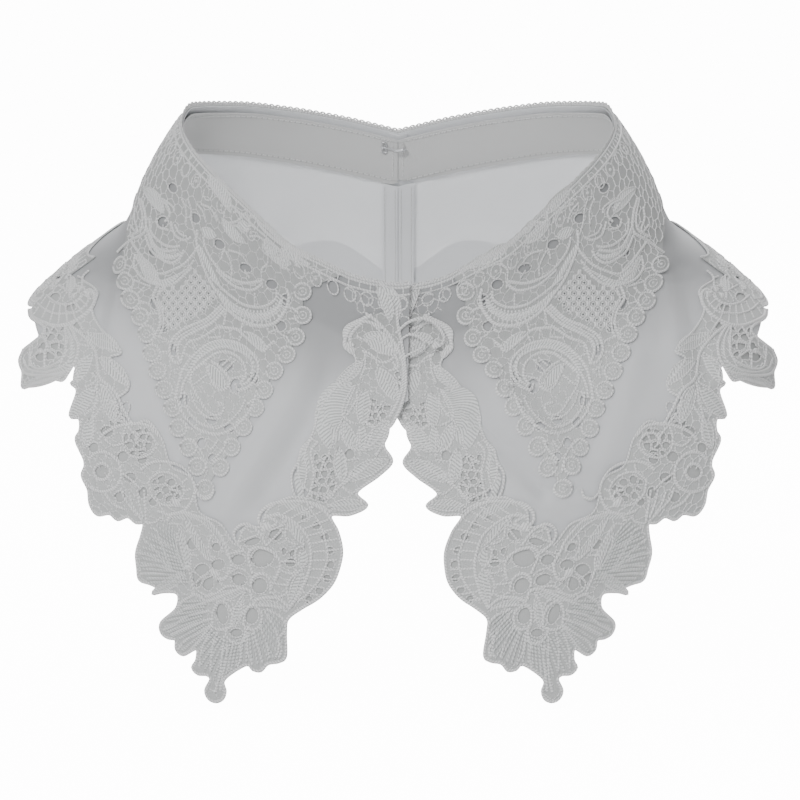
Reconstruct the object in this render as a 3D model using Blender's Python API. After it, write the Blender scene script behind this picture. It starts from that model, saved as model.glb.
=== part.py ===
"""False collar with pointed fronts: two sheer leaves that hang from a neckband, open at the centre back.

Cotton lace with a raised outline is sewn along the hem and in a panel on each front. Everything keeps the
hollow form it has when worn. The front faces -Y, the wearer's right is at -X, +Z is up, and the origin is
the middle of the neck opening. A place on the cloth is an angle round the neck, from the centre front
towards the side and on to the centre back, and a run down the cloth from the neckline.
"""

import math

import bmesh
import bpy
import numpy as np
from mathutils import Vector
from mathutils.geometry import delaunay_2d_cdt

MM = 0.001

# Driving sizes, millimetres
NECK_HALF_WIDTH = 106.0
NECK_FRONT_DEPTH = 65.0
NECK_BACK_DEPTH = 60.0
LEAF_WALL = 1.0
LACE_WALL = 1.0
BAND_WALL = 1.2
SEAM_GAP = 0.3
LACE_GAP = 0.7
BAND_GAP = 0.8
BAND_HEIGHT = 25.0
BAND_DROP = 2.5
BAND_CORNER = 3.5
BAND_CORNER_ANGLE = 3.5
PLACKET_WIDTH = 8.0
PLACKET_WALL = 1.0
BACK_SLIT = 1.0
BACK_LENGTH = 112.0
BACK_SCALLOP = 4.0
SHOULDER_EXTRA = 8.0
LEAF_SHORT = 7.5
BACK_LACE_TOP = 76.0
BACK_LACE_WAVE = 6.0
BACK_SCALLOP_COUNT = 9
LEAF_SPACING = 11.0
LACE_SPACING = 11.0
ROW_SHARE = 0.87
LAP_ANGLE = 3.0
LAP_DEPTH = 3.8
LAP_FADE_START = 7.0
LAP_FADE_END = 24.0
SHOULDER_ANGLE = 84.0
PATTERN_RADIUS = 140.0
HOOK_WIRE = 0.5
NECK_POINT_ROUND = math.radians(2.5)
NECK_STRIP_DEPTH = 13.0
NECK_STRIP_SCALLOP = 1.5

# Hook and thread bar at the centre back: places across the slit or along the run, and clear of the band
HOOK_RUN = 9.0
HOOK_PATH = ((-7, 0.9), (-4, 0.9), (-1, 0.9), (2, 0.9), (3.6, 1.5), (3.6, 2.8), (2, 3.3), (-1.5, 3.3))
BAR_ACROSS = 2.7
BAR_THREAD = 0.3
BAR_PATH = ((-3.2, 0.7), (-2.2, 2.0), (0, 2.15), (2.2, 2.0), (3.2, 0.7))

# How the outlines below are seen: from this far in front, and from this angle above
SEEN_FROM = 1500.0
SEEN_TILT = math.radians(9.0)
SEEN_TARGET_HEIGHT = -104.0

# Height of the neckline by the angle round the neck (degrees from the centre front, millimetres)
NECKLINE = (
    (0, -40), (12, -35), (21, -28), (28.5, -22), (37, -11), (46, 0), (59, 13),
    (79, 28), (90, 34), (107, 41), (132, 40), (148, 37), (164, 32), (180, 25),
)

# How the cloth hangs from the neckline: (out, down) in millimetres
FRONT_HANG = ((0, 0), (2, 4), (5, 22), (28, 60), (44, 108), (54, 178), (60, 250), (64, 310))
SIDE_HANG = ((0, 0), (5, 5), (19, 27), (32, 54), (45, 63), (64, 77), (79, 92), (85, 112), (87, 131), (88, 210))
BACK_HANG = ((0, 0), (2, 4), (5, 22), (22, 62), (34, 104), (38, 140))

# Soft folds of a leaf: (degrees at the neck, degrees at the hem, height, half width in degrees)
FOLDS = (
    (10, 24, 2.0, 7.0),
    (26, 36, -1.6, 7.0),
    (56, 57, 1.4, 8.0),
    (76, 74, -1.4, 8.0),
    (118, 112, 1.6, 8.0),
    (150, 146, -1.4, 8.0),
)

# Hem of a sheer front leaf as seen from the front: (out, down)
LEAF_HEM = (
    (-5, 103), (2, 108), (7, 124), (16, 138), (30, 152), (36, 163), (34, 178), (42, 192),
    (58, 204), (64, 222), (80, 230), (92, 234), (102, 222), (107, 205), (120, 190), (124, 170),
    (136, 158), (148, 146), (151, 128), (153, 108), (155, 92), (158, 84), (170, 86), (180, 82), (180, 70),
)

# Outer edge of the front lace, from the shoulder round the point to the neck: (out, down)
LACE_OUTER = (
    (184, 58), (183, 62), (177, 66), (176.5, 69.5), (183, 75), (186.5, 78), (188, 83.5), (187, 89.5),
    (187, 96.5), (181.5, 95), (172.5, 92.5), (167, 93), (164, 89), (161.5, 85.5), (160, 92), (163, 94.5),
    (160, 98.5), (163.5, 110.5), (159, 112), (158.5, 118), (160.5, 123), (156, 134), (157.5, 140.5),
    (154.5, 147.5), (153.5, 155), (150, 160), (144, 159.5), (140, 162.5), (135, 161), (131, 164),
    (127, 164.5), (128, 170.5), (130.5, 179), (130, 186.5), (129, 192.5), (124, 194.5), (120.5, 196.5),
    (122.5, 199.5), (117, 198.5), (110, 199.5), (110.5, 207), (118, 214), (118, 219), (115, 221.5),
    (111, 222.5), (110.5, 227.5), (107, 230), (100.5, 227), (100.5, 233), (102.5, 236.5), (100, 239.5),
    (95.5, 240), (93.5, 242.5), (96, 248), (94.5, 252), (91, 253.5), (87.5, 252), (86, 248), (86.5, 242),
    (76, 235), (72.5, 237.5), (68.5, 238), (65, 234.5), (59.5, 233.5), (56, 230.5), (56, 219), (55, 212),
    (48.5, 207), (39.5, 201.5), (32.5, 194), (29, 185), (28, 177.5), (30, 168.5), (33.5, 160.5),
    (24, 160), (15.5, 155.5), (20.5, 149), (9.5, 140.5), (3, 133.5), (7, 126), (6, 118.5), (2.5, 114.5),
    (-2, 105), (-4, 95), (-3.5, 85), (-2, 75), (0, 65), (0.5, 56),
)

# Inner edge of the front lace, from the neck back up to the shoulder: (out, down)
LACE_INNER = (
    (13, 60), (26, 66.5), (26, 75), (21, 82.5), (23, 90), (31.5, 97.5), (39, 107.5), (43, 120), (49, 130),
    (49, 142.5), (43, 151.5), (54, 151.5), (65, 157.5), (68, 166), (76, 166.5), (81, 175), (88, 165),
    (99, 158.5), (102.5, 142.5), (113, 135.5), (117.5, 122.5), (125, 113.5), (134, 115), (141.5, 104),
    (134.5, 96.5), (143, 83.5), (138, 79), (149, 66.5), (153, 57.5), (150.5, 48.5), (157, 43.5),
)

# Gaps of the front lace that are cut through: (out, down, half width, half height, turn in degrees)
LACE_GAPS = (
    (67.5, 181.5, 6.0, 5.0, 20), (69, 195.5, 4.0, 4.2, 0), (87.5, 209.5, 3.0, 5.6, 10),
    (73, 210.5, 3.6, 4.4, 0), (80.5, 219, 3.2, 2.4, 0), (94.5, 196.2, 5.0, 3.4, 15),
    (79, 192.5, 4.0, 3.2, -20), (79.5, 182.5, 3.6, 3.0, 0), (89.5, 185, 3.6, 3.0, 0),
    (99, 184.5, 3.2, 3.6, 0), (102.5, 174.5, 2.6, 3.4, 0), (61, 170, 3.6, 3.2, 30),
    (72.5, 173.5, 4.2, 2.2, 15), (90, 176, 2.8, 2.6, 0), (53.5, 184, 2.8, 2.4, 0),
    (117, 150, 2.6, 2.4, 0), (111, 153.5, 2.4, 2.2, 0), (122, 153.5, 2.2, 2.4, 0),
    (147.5, 138.5, 3.6, 3.6, 0), (129, 122, 3.4, 2.6, 20), (137, 131, 3.0, 3.0, 0),
    (133.5, 141.5, 3.2, 2.8, 0), (138.5, 151, 3.0, 3.0, 0), (127.5, 132, 2.6, 3.0, 0),
    (127, 149, 2.4, 3.2, 0), (151.5, 126.5, 2.6, 2.8, 0), (137, 108, 2.6, 4.6, -30),
    (145, 118.5, 3.4, 3.0, 0), (152, 93, 2.2, 3.2, -20), (156, 77.5, 3.2, 3.6, 0),
    (160.5, 66.5, 2.6, 2.6, -40), (170, 69.5, 3.6, 3.6, 0), (170.5, 79.5, 3.6, 4.0, 20),
    (179, 81.5, 3.2, 3.4, 0), (162, 47.5, 3.2, 2.6, 35), (171, 52, 3.0, 2.4, 35), (163, 57, 2.8, 2.2, 20),
    (12, 74, 2.4, 3.0, 0), (25, 105, 3.0, 2.6, 0), (22, 115.5, 3.2, 3.2, 0), (39.5, 129, 2.4, 3.6, 10),
    (41, 145, 3.0, 3.4, 0), (24, 130, 2.6, 3.0, 0), (14, 129.5, 2.8, 2.4, 0), (23.5, 142.5, 3.2, 2.6, 0),
    (5, 92, 2.4, 3.8, 0), (11, 112.5, 2.8, 3.4, 0), (33, 139, 2.6, 3.0, 0), (33.5, 150, 3.0, 2.4, 0),
    (31, 118, 2.4, 3.0, 0), (13, 100, 2.4, 3.0, 20),
)

# The net in the big crescent of each point: cells on an arc round its centre
CRESCENT_CENTRE = (57.5, 182.5)
CRESCENT_CELL_RADIUS = 24.0
CRESCENT_CELL_HALF = (2.3, 2.2)
CRESCENT_CELLS = 8
CRESCENT_FIRST = -62.0
CRESCENT_STEP = 17.0

# Front panel of lace: the filled part inside its strings of rings, and the two strings: (out, down)
PANEL_SHOULDER_STRING = (
    (138.5, 36), (135.5, 45), (133, 53.5), (128.5, 61.5), (125.5, 70), (123, 79.5), (120, 88.5),
    (116.5, 98), (112.5, 107), (109.5, 117), (104.5, 126.5), (100, 136), (96, 147),
)
PANEL_FRONT_STRING = (
    (88.5, 136.5), (83, 126.5), (77, 116.5), (71, 107), (66.5, 98), (61.5, 88.5), (55.5, 80.5),
    (51, 71.5), (47.5, 60.5), (47.5, 48.5),
)
PANEL_RING_RADIUS = 4.4
RING_SIDES = 7

# Gaps of the front panel that are cut through: (out, down, half width, half height, turn in degrees)
PANEL_GAPS = (
    (121, 55, 2.6, 3.6, 20), (117, 66, 2.4, 3.6, 10), (112, 78, 2.4, 3.4, 10), (106.5, 103, 2.4, 3.4, 10),
    (103, 114, 2.4, 3.2, 10), (98, 124.5, 2.4, 3.0, 0), (92.5, 132, 2.4, 2.6, 0), (86, 86, 4.0, 3.2, -20),
    (81, 96, 3.0, 4.0, 0), (91, 95, 2.6, 3.4, 0), (56, 53, 2.8, 3.4, 0), (59, 66, 3.4, 3.0, 0),
    (68, 78, 3.4, 2.6, -20), (77, 70, 3.4, 2.4, 10), (72, 92, 2.6, 3.4, 0), (84, 117, 3.0, 2.6, 0),
    (93, 113, 2.8, 2.4, 0), (63, 45, 3.2, 2.6, -30), (76, 37, 3.4, 2.4, -30), (89, 25, 3.2, 2.4, -40),
    (101, 12, 3.0, 2.4, -50), (112, -3, 2.8, 2.2, -60), (117, 14, 2.8, 3.0, 0), (121, 29, 3.0, 2.6, 0),
)

# The wearer's left side is the same cut, but its point and panel lie nearer the centre
POINT_SHIFT = 14.0
POINT_SHIFT_FROM = 137.0
POINT_SHIFT_TO = 253.0
PANEL_SHIFT = 13.5
PANEL_SHIFT_AT_SHOULDER = 8.5

SIDES = (("right", -1), ("left", 1))
BACK_EDGE = math.pi - BACK_SLIT / 2 / NECK_HALF_WIDTH
BACK_EDGE_DEGREES = math.degrees(BACK_EDGE)


def smooth_through(x, xs, ys):
    """Values at x of a smooth curve through the points, which never swings past them."""
    xs = np.asarray(xs, float)
    ys = np.asarray(ys, float)
    step = np.diff(xs)
    slope = np.diff(ys) / step
    before, after = slope[:-1], slope[1:]
    total = before + after
    level = before * after <= 0
    middle = np.where(level, 0.0, 2 * before * after / np.where(level | (total == 0), 1.0, total))
    tangent = np.concatenate(([slope[0]], middle, [slope[-1]]))
    x = np.clip(x, xs[0], xs[-1])
    i = np.clip(np.searchsorted(xs, x, side="right") - 1, 0, len(xs) - 2)
    t = (x - xs[i]) / step[i]
    rise = t * t * (3 - 2 * t)
    start = t * (1 - t) ** 2 * step[i] * tangent[i]
    end = t * t * (t - 1) * step[i] * tangent[i + 1]
    return ys[i] * (1 - rise) + ys[i + 1] * rise + start + end


def soft_step(x, low, high):
    t = np.clip((x - low) / (high - low), 0, 1)
    return t * t * (3 - 2 * t)


def hang(table, run):
    """How far out and down the cloth lies after a run from the neckline."""
    table = np.asarray(table, float)
    length = np.concatenate(([0], np.cumsum(np.hypot(*np.diff(table, axis=0).T))))
    return smooth_through(run, length, table[:, 0]), smooth_through(run, length, table[:, 1])


def fold_height(angle, run):
    """Height of the soft folds, which grow from nothing at the neckband to full height below it."""
    degrees = np.degrees(angle)
    along = np.clip(run / 150, 0, 1.6)
    height = 0
    for at_neck, at_hem, tall, half in FOLDS:
        centre = at_neck + (at_hem - at_neck) * along
        height = height + tall * np.exp(-(((degrees - centre) / half) ** 2))
    return height * soft_step(run, 28, 75)


def leaf_surface(angle, run):
    """Points of the outer face of the right leaf, mirrored to +X: angle in radians, run in millimetres."""
    size = np.hypot(angle, NECK_POINT_ROUND)
    degrees, height = np.asarray(NECKLINE, float).T
    top = smooth_through(np.degrees(size), degrees, height)
    side = np.sin(angle) ** 2
    end_out, end_down = hang(FRONT_HANG, run)
    back_out, back_down = hang(BACK_HANG, run)
    behind = np.cos(angle) < 0
    end_out = np.where(behind, back_out, end_out)
    end_down = np.where(behind, back_down, end_down)
    side_out, side_down = hang(SIDE_HANG, run)
    out = side * side_out + (1 - side) * end_out + fold_height(size, run)
    down = side * side_down + (1 - side) * end_down
    depth = np.where(behind, NECK_BACK_DEPTH, NECK_FRONT_DEPTH)
    x = (NECK_HALF_WIDTH + out) * np.sin(angle)
    y = -(depth + out) * np.cos(angle)
    return np.stack((x, y, top - down), axis=-1)


def lap(side, angle):
    """How far the leaf lies under the other one at the centre front: only the wearer's left one does."""
    if side < 0:
        return 0.0 * angle
    return -LAP_DEPTH * (1 - soft_step(np.degrees(angle), LAP_FADE_START, LAP_FADE_END))


def on_leaf(side, angle, run, lift=0.0):
    """Points in metres at a height over the outer face of one side's leaf."""
    angle = np.asarray(angle, float)
    run = np.asarray(run, float)
    here = leaf_surface(angle, run)
    turn = np.radians(0.4)
    slip = 0.6
    across = leaf_surface(angle + turn, run) - leaf_surface(angle - turn, run)
    along = leaf_surface(angle, run + slip) - leaf_surface(angle, np.maximum(run - slip, 0))
    normal = np.cross(across, along)
    normal /= np.linalg.norm(normal, axis=-1, keepdims=True)
    outward = np.where(np.sum(normal * here * (1, 1, 0), axis=-1, keepdims=True) < 0, -1, 1)
    height = lift + lap(side, np.abs(angle))
    points = here + normal * outward * np.asarray(height)[..., None]
    return points * (side * MM, MM, MM)


def as_seen(angle, run):
    """Where points of the leaf's face appear from the front: millimetres out and down from the neck's middle."""
    x, y, z = np.moveaxis(leaf_surface(angle, run), -1, 0)
    up = (z - SEEN_TARGET_HEIGHT) * math.cos(SEEN_TILT) + y * math.sin(SEEN_TILT)
    away = y * math.cos(SEEN_TILT) - (z - SEEN_TARGET_HEIGHT) * math.sin(SEEN_TILT)
    near = SEEN_FROM / (SEEN_FROM + away)
    return x * near, -(up * near + SEEN_TARGET_HEIGHT * math.cos(SEEN_TILT))


GRID_ANGLE, GRID_RUN = np.meshgrid(np.radians(np.arange(-12, 90, 0.5)), np.arange(0, 320, 1.0), indexing="ij")
GRID_OUT, GRID_DOWN = as_seen(GRID_ANGLE, GRID_RUN)


def from_seen(points):
    """Angle and run of the places on the leaf that appear at these points from the front."""
    points = np.asarray(points, float)
    found = []
    for out, down in points:
        i = np.argmin((GRID_OUT - out) ** 2 + (GRID_DOWN - down) ** 2)
        found.append((GRID_ANGLE.flat[i], GRID_RUN.flat[i]))
    angle, run = np.asarray(found).T
    for _ in range(4):
        out, down = as_seen(angle, run)
        turned = np.stack(as_seen(angle + 0.002, run)) - (out, down)
        moved = np.stack(as_seen(angle, run + 0.2)) - (out, down)
        a, c = turned / 0.002
        b, d = moved / 0.2
        miss_out, miss_down = points[:, 0] - out, points[:, 1] - down
        area = a * d - b * c
        safe = np.where(np.abs(area) < 30, np.inf, area)
        angle = angle + np.clip((d * miss_out - b * miss_down) / safe, -0.01, 0.01)
        run = run + np.clip((a * miss_down - c * miss_out) / safe, -1, 1)
    return np.stack((np.minimum(angle, math.radians(89)), np.maximum(run, 0)), axis=-1)


def seen_outline(side, points):
    """A hem or lace edge on one side: the left point lies nearer the centre."""
    points = np.array(points, float)
    if side > 0:
        points[:, 0] -= POINT_SHIFT * soft_step(points[:, 1], POINT_SHIFT_FROM, POINT_SHIFT_TO)
    return from_seen(points)


def seen_panel(side, points):
    """Places of the front panel on one side: the left one lies nearer the centre."""
    points = np.array(points, float)
    if side > 0:
        high = 1 - soft_step(points[:, 1], 40, 110)
        outer = soft_step(points[:, 0], 60, 130)
        points[:, 0] -= PANEL_SHIFT - (PANEL_SHIFT - PANEL_SHIFT_AT_SHOULDER) * high * outer
    return from_seen(points)


def oval(across, down, half_width, half_height, turn=0.0, count=8):
    """Corners of an oval gap or disc."""
    turn = math.radians(turn)
    angles = np.arange(count) * 2 * math.pi / count
    x = half_width * np.cos(angles)
    y = half_height * np.sin(angles)
    return np.stack(
        (across + x * math.cos(turn) - y * math.sin(turn), down + x * math.sin(turn) + y * math.cos(turn)), axis=-1
    )


def gap_ovals(rows, count=6):
    return [oval(*row, count=count) for row in rows]


def flat(places):
    """Angle and run as flat pattern coordinates in millimetres."""
    places = np.asarray(places, float)
    return np.stack((places[:, 0] * PATTERN_RADIUS, places[:, 1]), axis=-1)


def closely(points, spacing):
    """The closed outline with points added so that no side is longer than the spacing."""
    points = np.asarray(points, float)
    result = []
    for start, end in zip(points, np.roll(points, -1, axis=0)):
        count = max(1, math.ceil(np.linalg.norm(end - start) / spacing))
        for i in range(count):
            result.append(start + (end - start) * i / count)
    return np.array(result)


def inside(outline, points):
    """Which of the points lie inside the closed outline."""
    x, y = points[:, 0], points[:, 1]
    result = np.zeros(len(points), bool)
    for (x0, y0), (x1, y1) in zip(outline, np.roll(outline, -1, axis=0)):
        if y0 == y1:
            continue
        crosses = (y0 > y) != (y1 > y)
        result ^= crosses & (x < x0 + (y - y0) * (x1 - x0) / (y1 - y0))
    return result


def filled(solids, gaps, spacing):
    """Triangles in the flat pattern that fill the solids and leave the gaps open."""
    edges_of = [closely(outline, spacing) for outline in solids] + [np.asarray(gap, float) for gap in gaps]
    corners = np.concatenate(edges_of)
    low, high = np.floor(corners.min(0) / spacing), np.ceil(corners.max(0) / spacing)
    inner = [
        ((column + (row % 2) / 2) * spacing, row * spacing * ROW_SHARE)
        for row in range(int(low[1]), int(high[1] / ROW_SHARE) + 1)
        for column in range(int(low[0]), int(high[0]) + 1)
    ]
    inner = np.array(inner)
    keep = np.zeros(len(inner), bool)
    for outline in edges_of[: len(solids)]:
        keep |= inside(outline, inner)
    distance = np.sqrt(((inner[:, None, :] - corners[None, :, :]) ** 2).sum(-1)).min(1)
    inner = inner[keep & (distance > spacing * 0.55)]
    edges = []
    start = 0
    for outline in edges_of:
        count = len(outline)
        edges += [(start + i, start + (i + 1) % count) for i in range(count)]
        start += count
    points = [Vector(p) for p in np.concatenate((corners, inner))]
    places, _, triangles, _, _, _ = delaunay_2d_cdt(points, edges, [], 0, 1e-5, False)
    places = np.array(places)
    triangles = np.array(triangles)
    centres = places[triangles].mean(1)
    keep = np.zeros(len(triangles), bool)
    for outline in edges_of[: len(solids)]:
        keep |= inside(outline, centres)
    for outline in edges_of[len(solids) :]:
        keep &= ~inside(outline, centres)
    triangles = triangles[keep]
    used, triangles = np.unique(triangles, return_inverse=True)
    return places[used], triangles.reshape(-1, 3)


def material(name, colour, roughness, metallic=0.0):
    found = bpy.data.materials.get(name)
    if found:
        return found
    made = bpy.data.materials.new(name)
    made.use_nodes = True
    shader = made.node_tree.nodes["Principled BSDF"]
    shader.inputs["Base Color"].default_value = (*colour, 1)
    shader.inputs["Roughness"].default_value = roughness
    shader.inputs["Metallic"].default_value = metallic
    return made


def add_object(name, vertices, faces, look):
    mesh = bpy.data.meshes.new(name)
    mesh.from_pydata([tuple(v) for v in vertices], [], [tuple(f) for f in faces])
    form = bmesh.new()
    form.from_mesh(mesh)
    bmesh.ops.recalc_face_normals(form, faces=form.faces)
    form.to_mesh(mesh)
    form.free()
    mesh.materials.append(look)
    made = bpy.data.objects.new(name, mesh)
    bpy.context.scene.collection.objects.link(made)
    return made


def wall(name, side, solids, gaps, spacing, low, high, look):
    """A curved plate between two heights over the leaf, filled in the flat pattern and laid on the form."""
    places, triangles = filled(solids, gaps, spacing)
    angle = places[:, 0] / PATTERN_RADIUS
    run = places[:, 1]
    outer = on_leaf(side, angle, run, high)
    inner = on_leaf(side, angle, run, low)
    count = len(places)
    seen = {}
    for a, b, c in triangles:
        for pair in ((a, b), (b, c), (c, a)):
            seen[pair] = True
    rim = [pair for pair in seen if (pair[1], pair[0]) not in seen]
    faces = [tuple(t) for t in triangles]
    faces += [(c + count, b + count, a + count) for a, b, c in triangles]
    for a, b in rim:
        faces.append((b, a, a + count))
        faces.append((b, a + count, b + count))
    return add_object(name, np.concatenate((outer, inner)), faces, look)


def back_hem(degrees, smooth=False):
    """Run to the scalloped back hem at an angle, from the shoulder to the centre back."""
    part = (degrees - SHOULDER_ANGLE) / (180 - SHOULDER_ANGLE)
    line = BACK_LENGTH + SHOULDER_EXTRA * (1 - part)
    scallop = 0 if smooth else abs(math.sin(math.pi * BACK_SCALLOP_COUNT * part)) - 1
    return line + BACK_SCALLOP * scallop


def ring_band(name, look):
    """The neckband: one strip round the neck inside the leaves, with rounded ends at the centre back."""
    end = BACK_EDGE_DEGREES
    steps = 65
    rows = 2
    degrees = np.linspace(-end, end, steps)
    outer, inner = [], []
    for value in degrees:
        size = abs(value)
        rounding = 1 - soft_step(np.array(end - size), 0, BAND_CORNER_ANGLE)
        side = 1 if value > 0 else -1
        top = BAND_DROP + rounding * BAND_CORNER / 3
        bottom = BAND_DROP + BAND_HEIGHT - rounding * BAND_CORNER
        clear = LAP_DEPTH * (1 - soft_step(np.array(size), LAP_FADE_START, LAP_FADE_END))
        lift = -LEAF_WALL - BAND_GAP - clear
        runs = np.linspace(top, bottom, rows + 1)
        angle = np.full(rows + 1, math.radians(size))
        for lifted, into in ((lift, outer), (lift - BAND_WALL, inner)):
            into.append(on_leaf(-1, angle, runs, lifted) * (-side, 1, 1))
    grid = np.array(outer + inner).reshape(2, steps, rows + 1, 3)

    def at(face, i, j):
        return (face * steps + i) * (rows + 1) + j

    faces = []
    for i in range(steps - 1):
        for j in range(rows):
            for face, order in ((0, 1), (1, -1)):
                square = [at(face, i, j), at(face, i + 1, j), at(face, i + 1, j + 1), at(face, i, j + 1)]
                square = square[::order]
                faces += [(square[0], square[1], square[2]), (square[0], square[2], square[3])]
        for j, order in ((0, -1), (rows, 1)):
            square = [at(0, i, j), at(0, i + 1, j), at(1, i + 1, j), at(1, i, j)][::order]
            faces += [(square[0], square[1], square[2]), (square[0], square[2], square[3])]
    for i, order in ((0, 1), (steps - 1, -1)):
        for j in range(rows):
            square = [at(0, i, j), at(0, i, j + 1), at(1, i, j + 1), at(1, i, j)][::order]
            faces += [(square[0], square[1], square[2]), (square[0], square[2], square[3])]
    return add_object(name, grid.reshape(-1, 3), faces, look)


def leaf(name, side, look):
    """One sheer leaf from the centre back over the shoulder to the centre front."""
    back = BACK_EDGE_DEGREES
    neck = [(math.radians(a), 0.0) for a in np.linspace(back, -LAP_ANGLE, 30)]
    front = [tuple(p) for p in seen_outline(side, LEAF_HEM)]
    hem = [(math.radians(a), back_hem(a, smooth=True) - LEAF_SHORT) for a in np.linspace(92, back, 16)]
    return wall(name, side, [flat(neck + front + hem)], [], LEAF_SPACING, -LEAF_WALL, 0.0, look)


def front_lace(name, side, look):
    """The lace sewn along a front leaf, round its point, and up to the shoulder."""
    outer = [tuple(p) for p in seen_outline(side, LACE_OUTER)]
    inner = [tuple(p) for p in seen_outline(side, LACE_INNER)]
    shoulder = [(math.radians(SHOULDER_ANGLE), 94.0), (math.radians(SHOULDER_ANGLE), back_hem(SHOULDER_ANGLE))]
    gaps = gap_ovals(LACE_GAPS)
    for i in range(CRESCENT_CELLS):
        turn = math.radians(CRESCENT_FIRST + i * CRESCENT_STEP)
        across = CRESCENT_CENTRE[0] - CRESCENT_CELL_RADIUS * math.cos(turn)
        down = CRESCENT_CENTRE[1] + CRESCENT_CELL_RADIUS * math.sin(turn)
        gaps.append(oval(across, down, *CRESCENT_CELL_HALF, -math.degrees(turn), count=4))
    gaps = [flat(seen_outline(side, gap)) for gap in gaps]
    outline = [flat(outer + inner + shoulder)]
    return wall(name, side, outline, gaps, LACE_SPACING, LACE_GAP, LACE_GAP + LACE_WALL, look)


def back_lace(name, side, look):
    """The lace along the back hem, from the shoulder to the centre back."""
    start = SHOULDER_ANGLE + math.degrees(SEAM_GAP / 190)
    back = BACK_EDGE_DEGREES
    angles = np.linspace(start, back, 46)
    hem = [(math.radians(a), back_hem(a)) for a in angles]
    inner = [(math.radians(a), BACK_LACE_TOP + BACK_LACE_WAVE * math.cos(math.radians(a * 12))) for a in angles[::-2]]
    gaps = []
    step = (back - start) / BACK_SCALLOP_COUNT
    for i in range(BACK_SCALLOP_COUNT):
        middle = start + (i + 0.5) * step
        for turn, run, half_width, half_height in (
            (-0.22, 101, 3.8, 3.0), (0.22, 101, 3.8, 3.0), (0.0, 90.5, 3.8, 3.2),
        ):
            across = math.radians(middle + turn * step) * PATTERN_RADIUS
            gaps.append(oval(across, run, half_width, half_height, count=6))
    return wall(name, side, [flat(hem + inner)], gaps, LACE_SPACING, LACE_GAP, LACE_GAP + LACE_WALL, look)


def panel(name, side, look):
    """The pointed panel of lace on a front, from the neckline down, with a string of rings on two edges."""
    shoulder = [tuple(p) for p in seen_panel(side, PANEL_SHOULDER_STRING)]
    front = [tuple(p) for p in seen_panel(side, PANEL_FRONT_STRING)]
    back = BACK_EDGE_DEGREES
    neck = [(math.radians(a), 0.0) for a in (14, 24, 34, 44, 56, 70, 86, 98, 112, 126, 140, 154, 167, back)]
    strip = [
        (math.radians(a), NECK_STRIP_DEPTH + NECK_STRIP_SCALLOP * (1 if i % 2 else -1))
        for i, a in enumerate(np.linspace(back, 104, 17))
    ]
    fill = flat(shoulder + front + neck + strip + [(math.radians(96), 24.0), (math.radians(88), 46.0)])
    solids = [fill]
    for across, down in PANEL_SHOULDER_STRING + PANEL_FRONT_STRING:
        ring = oval(across, down, PANEL_RING_RADIUS, PANEL_RING_RADIUS, count=RING_SIDES)
        solids.append(flat(seen_panel(side, ring)))
    gaps = [flat(seen_panel(side, gap)) for gap in gap_ovals(PANEL_GAPS)]
    return wall(name, side, solids, gaps, LACE_SPACING, LACE_GAP, LACE_GAP + LACE_WALL, look)


def placket(name, side, look):
    """The turned-in strip along the centre back edge, on the inside of a leaf."""
    top = BAND_DROP + BAND_HEIGHT + 2 * SEAM_GAP
    bottom = BACK_LENGTH - LEAF_SHORT - 2.0
    edge = [
        (BACK_EDGE - PLACKET_WIDTH / (NECK_HALF_WIDTH + float(hang(BACK_HANG, run)[0])), run)
        for run in (top, bottom)
    ]
    corners = [(BACK_EDGE, top), *edge, (BACK_EDGE, bottom)]
    low = -LEAF_WALL - LACE_GAP - PLACKET_WALL
    return wall(name, side, [flat(corners)], [], LEAF_SPACING, low, -LEAF_WALL - LACE_GAP, look)


def wire(name, points, radius, look):
    """A bent wire or thread bar: a round cord through the points, with closed ends."""
    line = bpy.data.curves.new(name, "CURVE")
    line.dimensions = "3D"
    line.bevel_depth = radius
    line.bevel_resolution = 1
    line.use_fill_caps = True
    spline = line.splines.new("POLY")
    spline.points.add(len(points) - 1)
    for point, place in zip(spline.points, points):
        point.co = (*place, 1)
    line.materials.append(look)
    made = bpy.data.objects.new(name, line)
    bpy.context.scene.collection.objects.link(made)
    return made


def on_band_inside(across, run, clear):
    """A point inside the neckband at the centre back: millimetres across from the slit, +X positive."""
    angle = math.pi - abs(across) / NECK_HALF_WIDTH
    lift = -LEAF_WALL - BAND_GAP - BAND_WALL - clear
    point = on_leaf(-1, np.array(angle), np.array(float(run)), lift)
    return np.array((math.copysign(1, across) * abs(point[0]), point[1], point[2]))


def build():
    for existing in list(bpy.data.objects):
        bpy.data.objects.remove(existing)
    sheer = material("sheer_cloth", (0.80, 0.81, 0.83), 0.7)
    lace = material("lace_thread", (0.84, 0.84, 0.85), 0.6)
    lining = material("band_cloth", (0.78, 0.79, 0.80), 0.75)
    metal = material("hook_metal", (0.75, 0.76, 0.78), 0.35, 1.0)
    for word, side in SIDES:
        leaf(f"leaf_{word}", side, sheer)
        front_lace(f"front_lace_{word}", side, lace)
        back_lace(f"back_lace_{word}", side, lace)
        panel(f"panel_{word}", side, lace)
        placket(f"placket_{word}", side, sheer)
    ring_band("neckband", lining)
    points = [on_band_inside(across, HOOK_RUN, clear) for across, clear in HOOK_PATH]
    wire("hook", points, HOOK_WIRE * MM, metal)
    points = [on_band_inside(BAR_ACROSS, HOOK_RUN + run, clear) for run, clear in BAR_PATH]
    wire("thread_bar", points, BAR_THREAD * MM, lace)


build()
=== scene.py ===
"""False collar of sheer chiffon with corded lace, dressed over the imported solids.

A place on the cloth is an angle round the neck, in radians from the centre front, and a run in millimetres
down from the neckline. Motifs are placed by where they appear from the front: millimetres out from the
centre and down from the neck's middle. The two sides share one set of tables.
"""

import math

import bmesh
import bpy
import numpy as np
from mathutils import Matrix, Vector, kdtree
from mathutils.geometry import delaunay_2d_cdt


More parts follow.
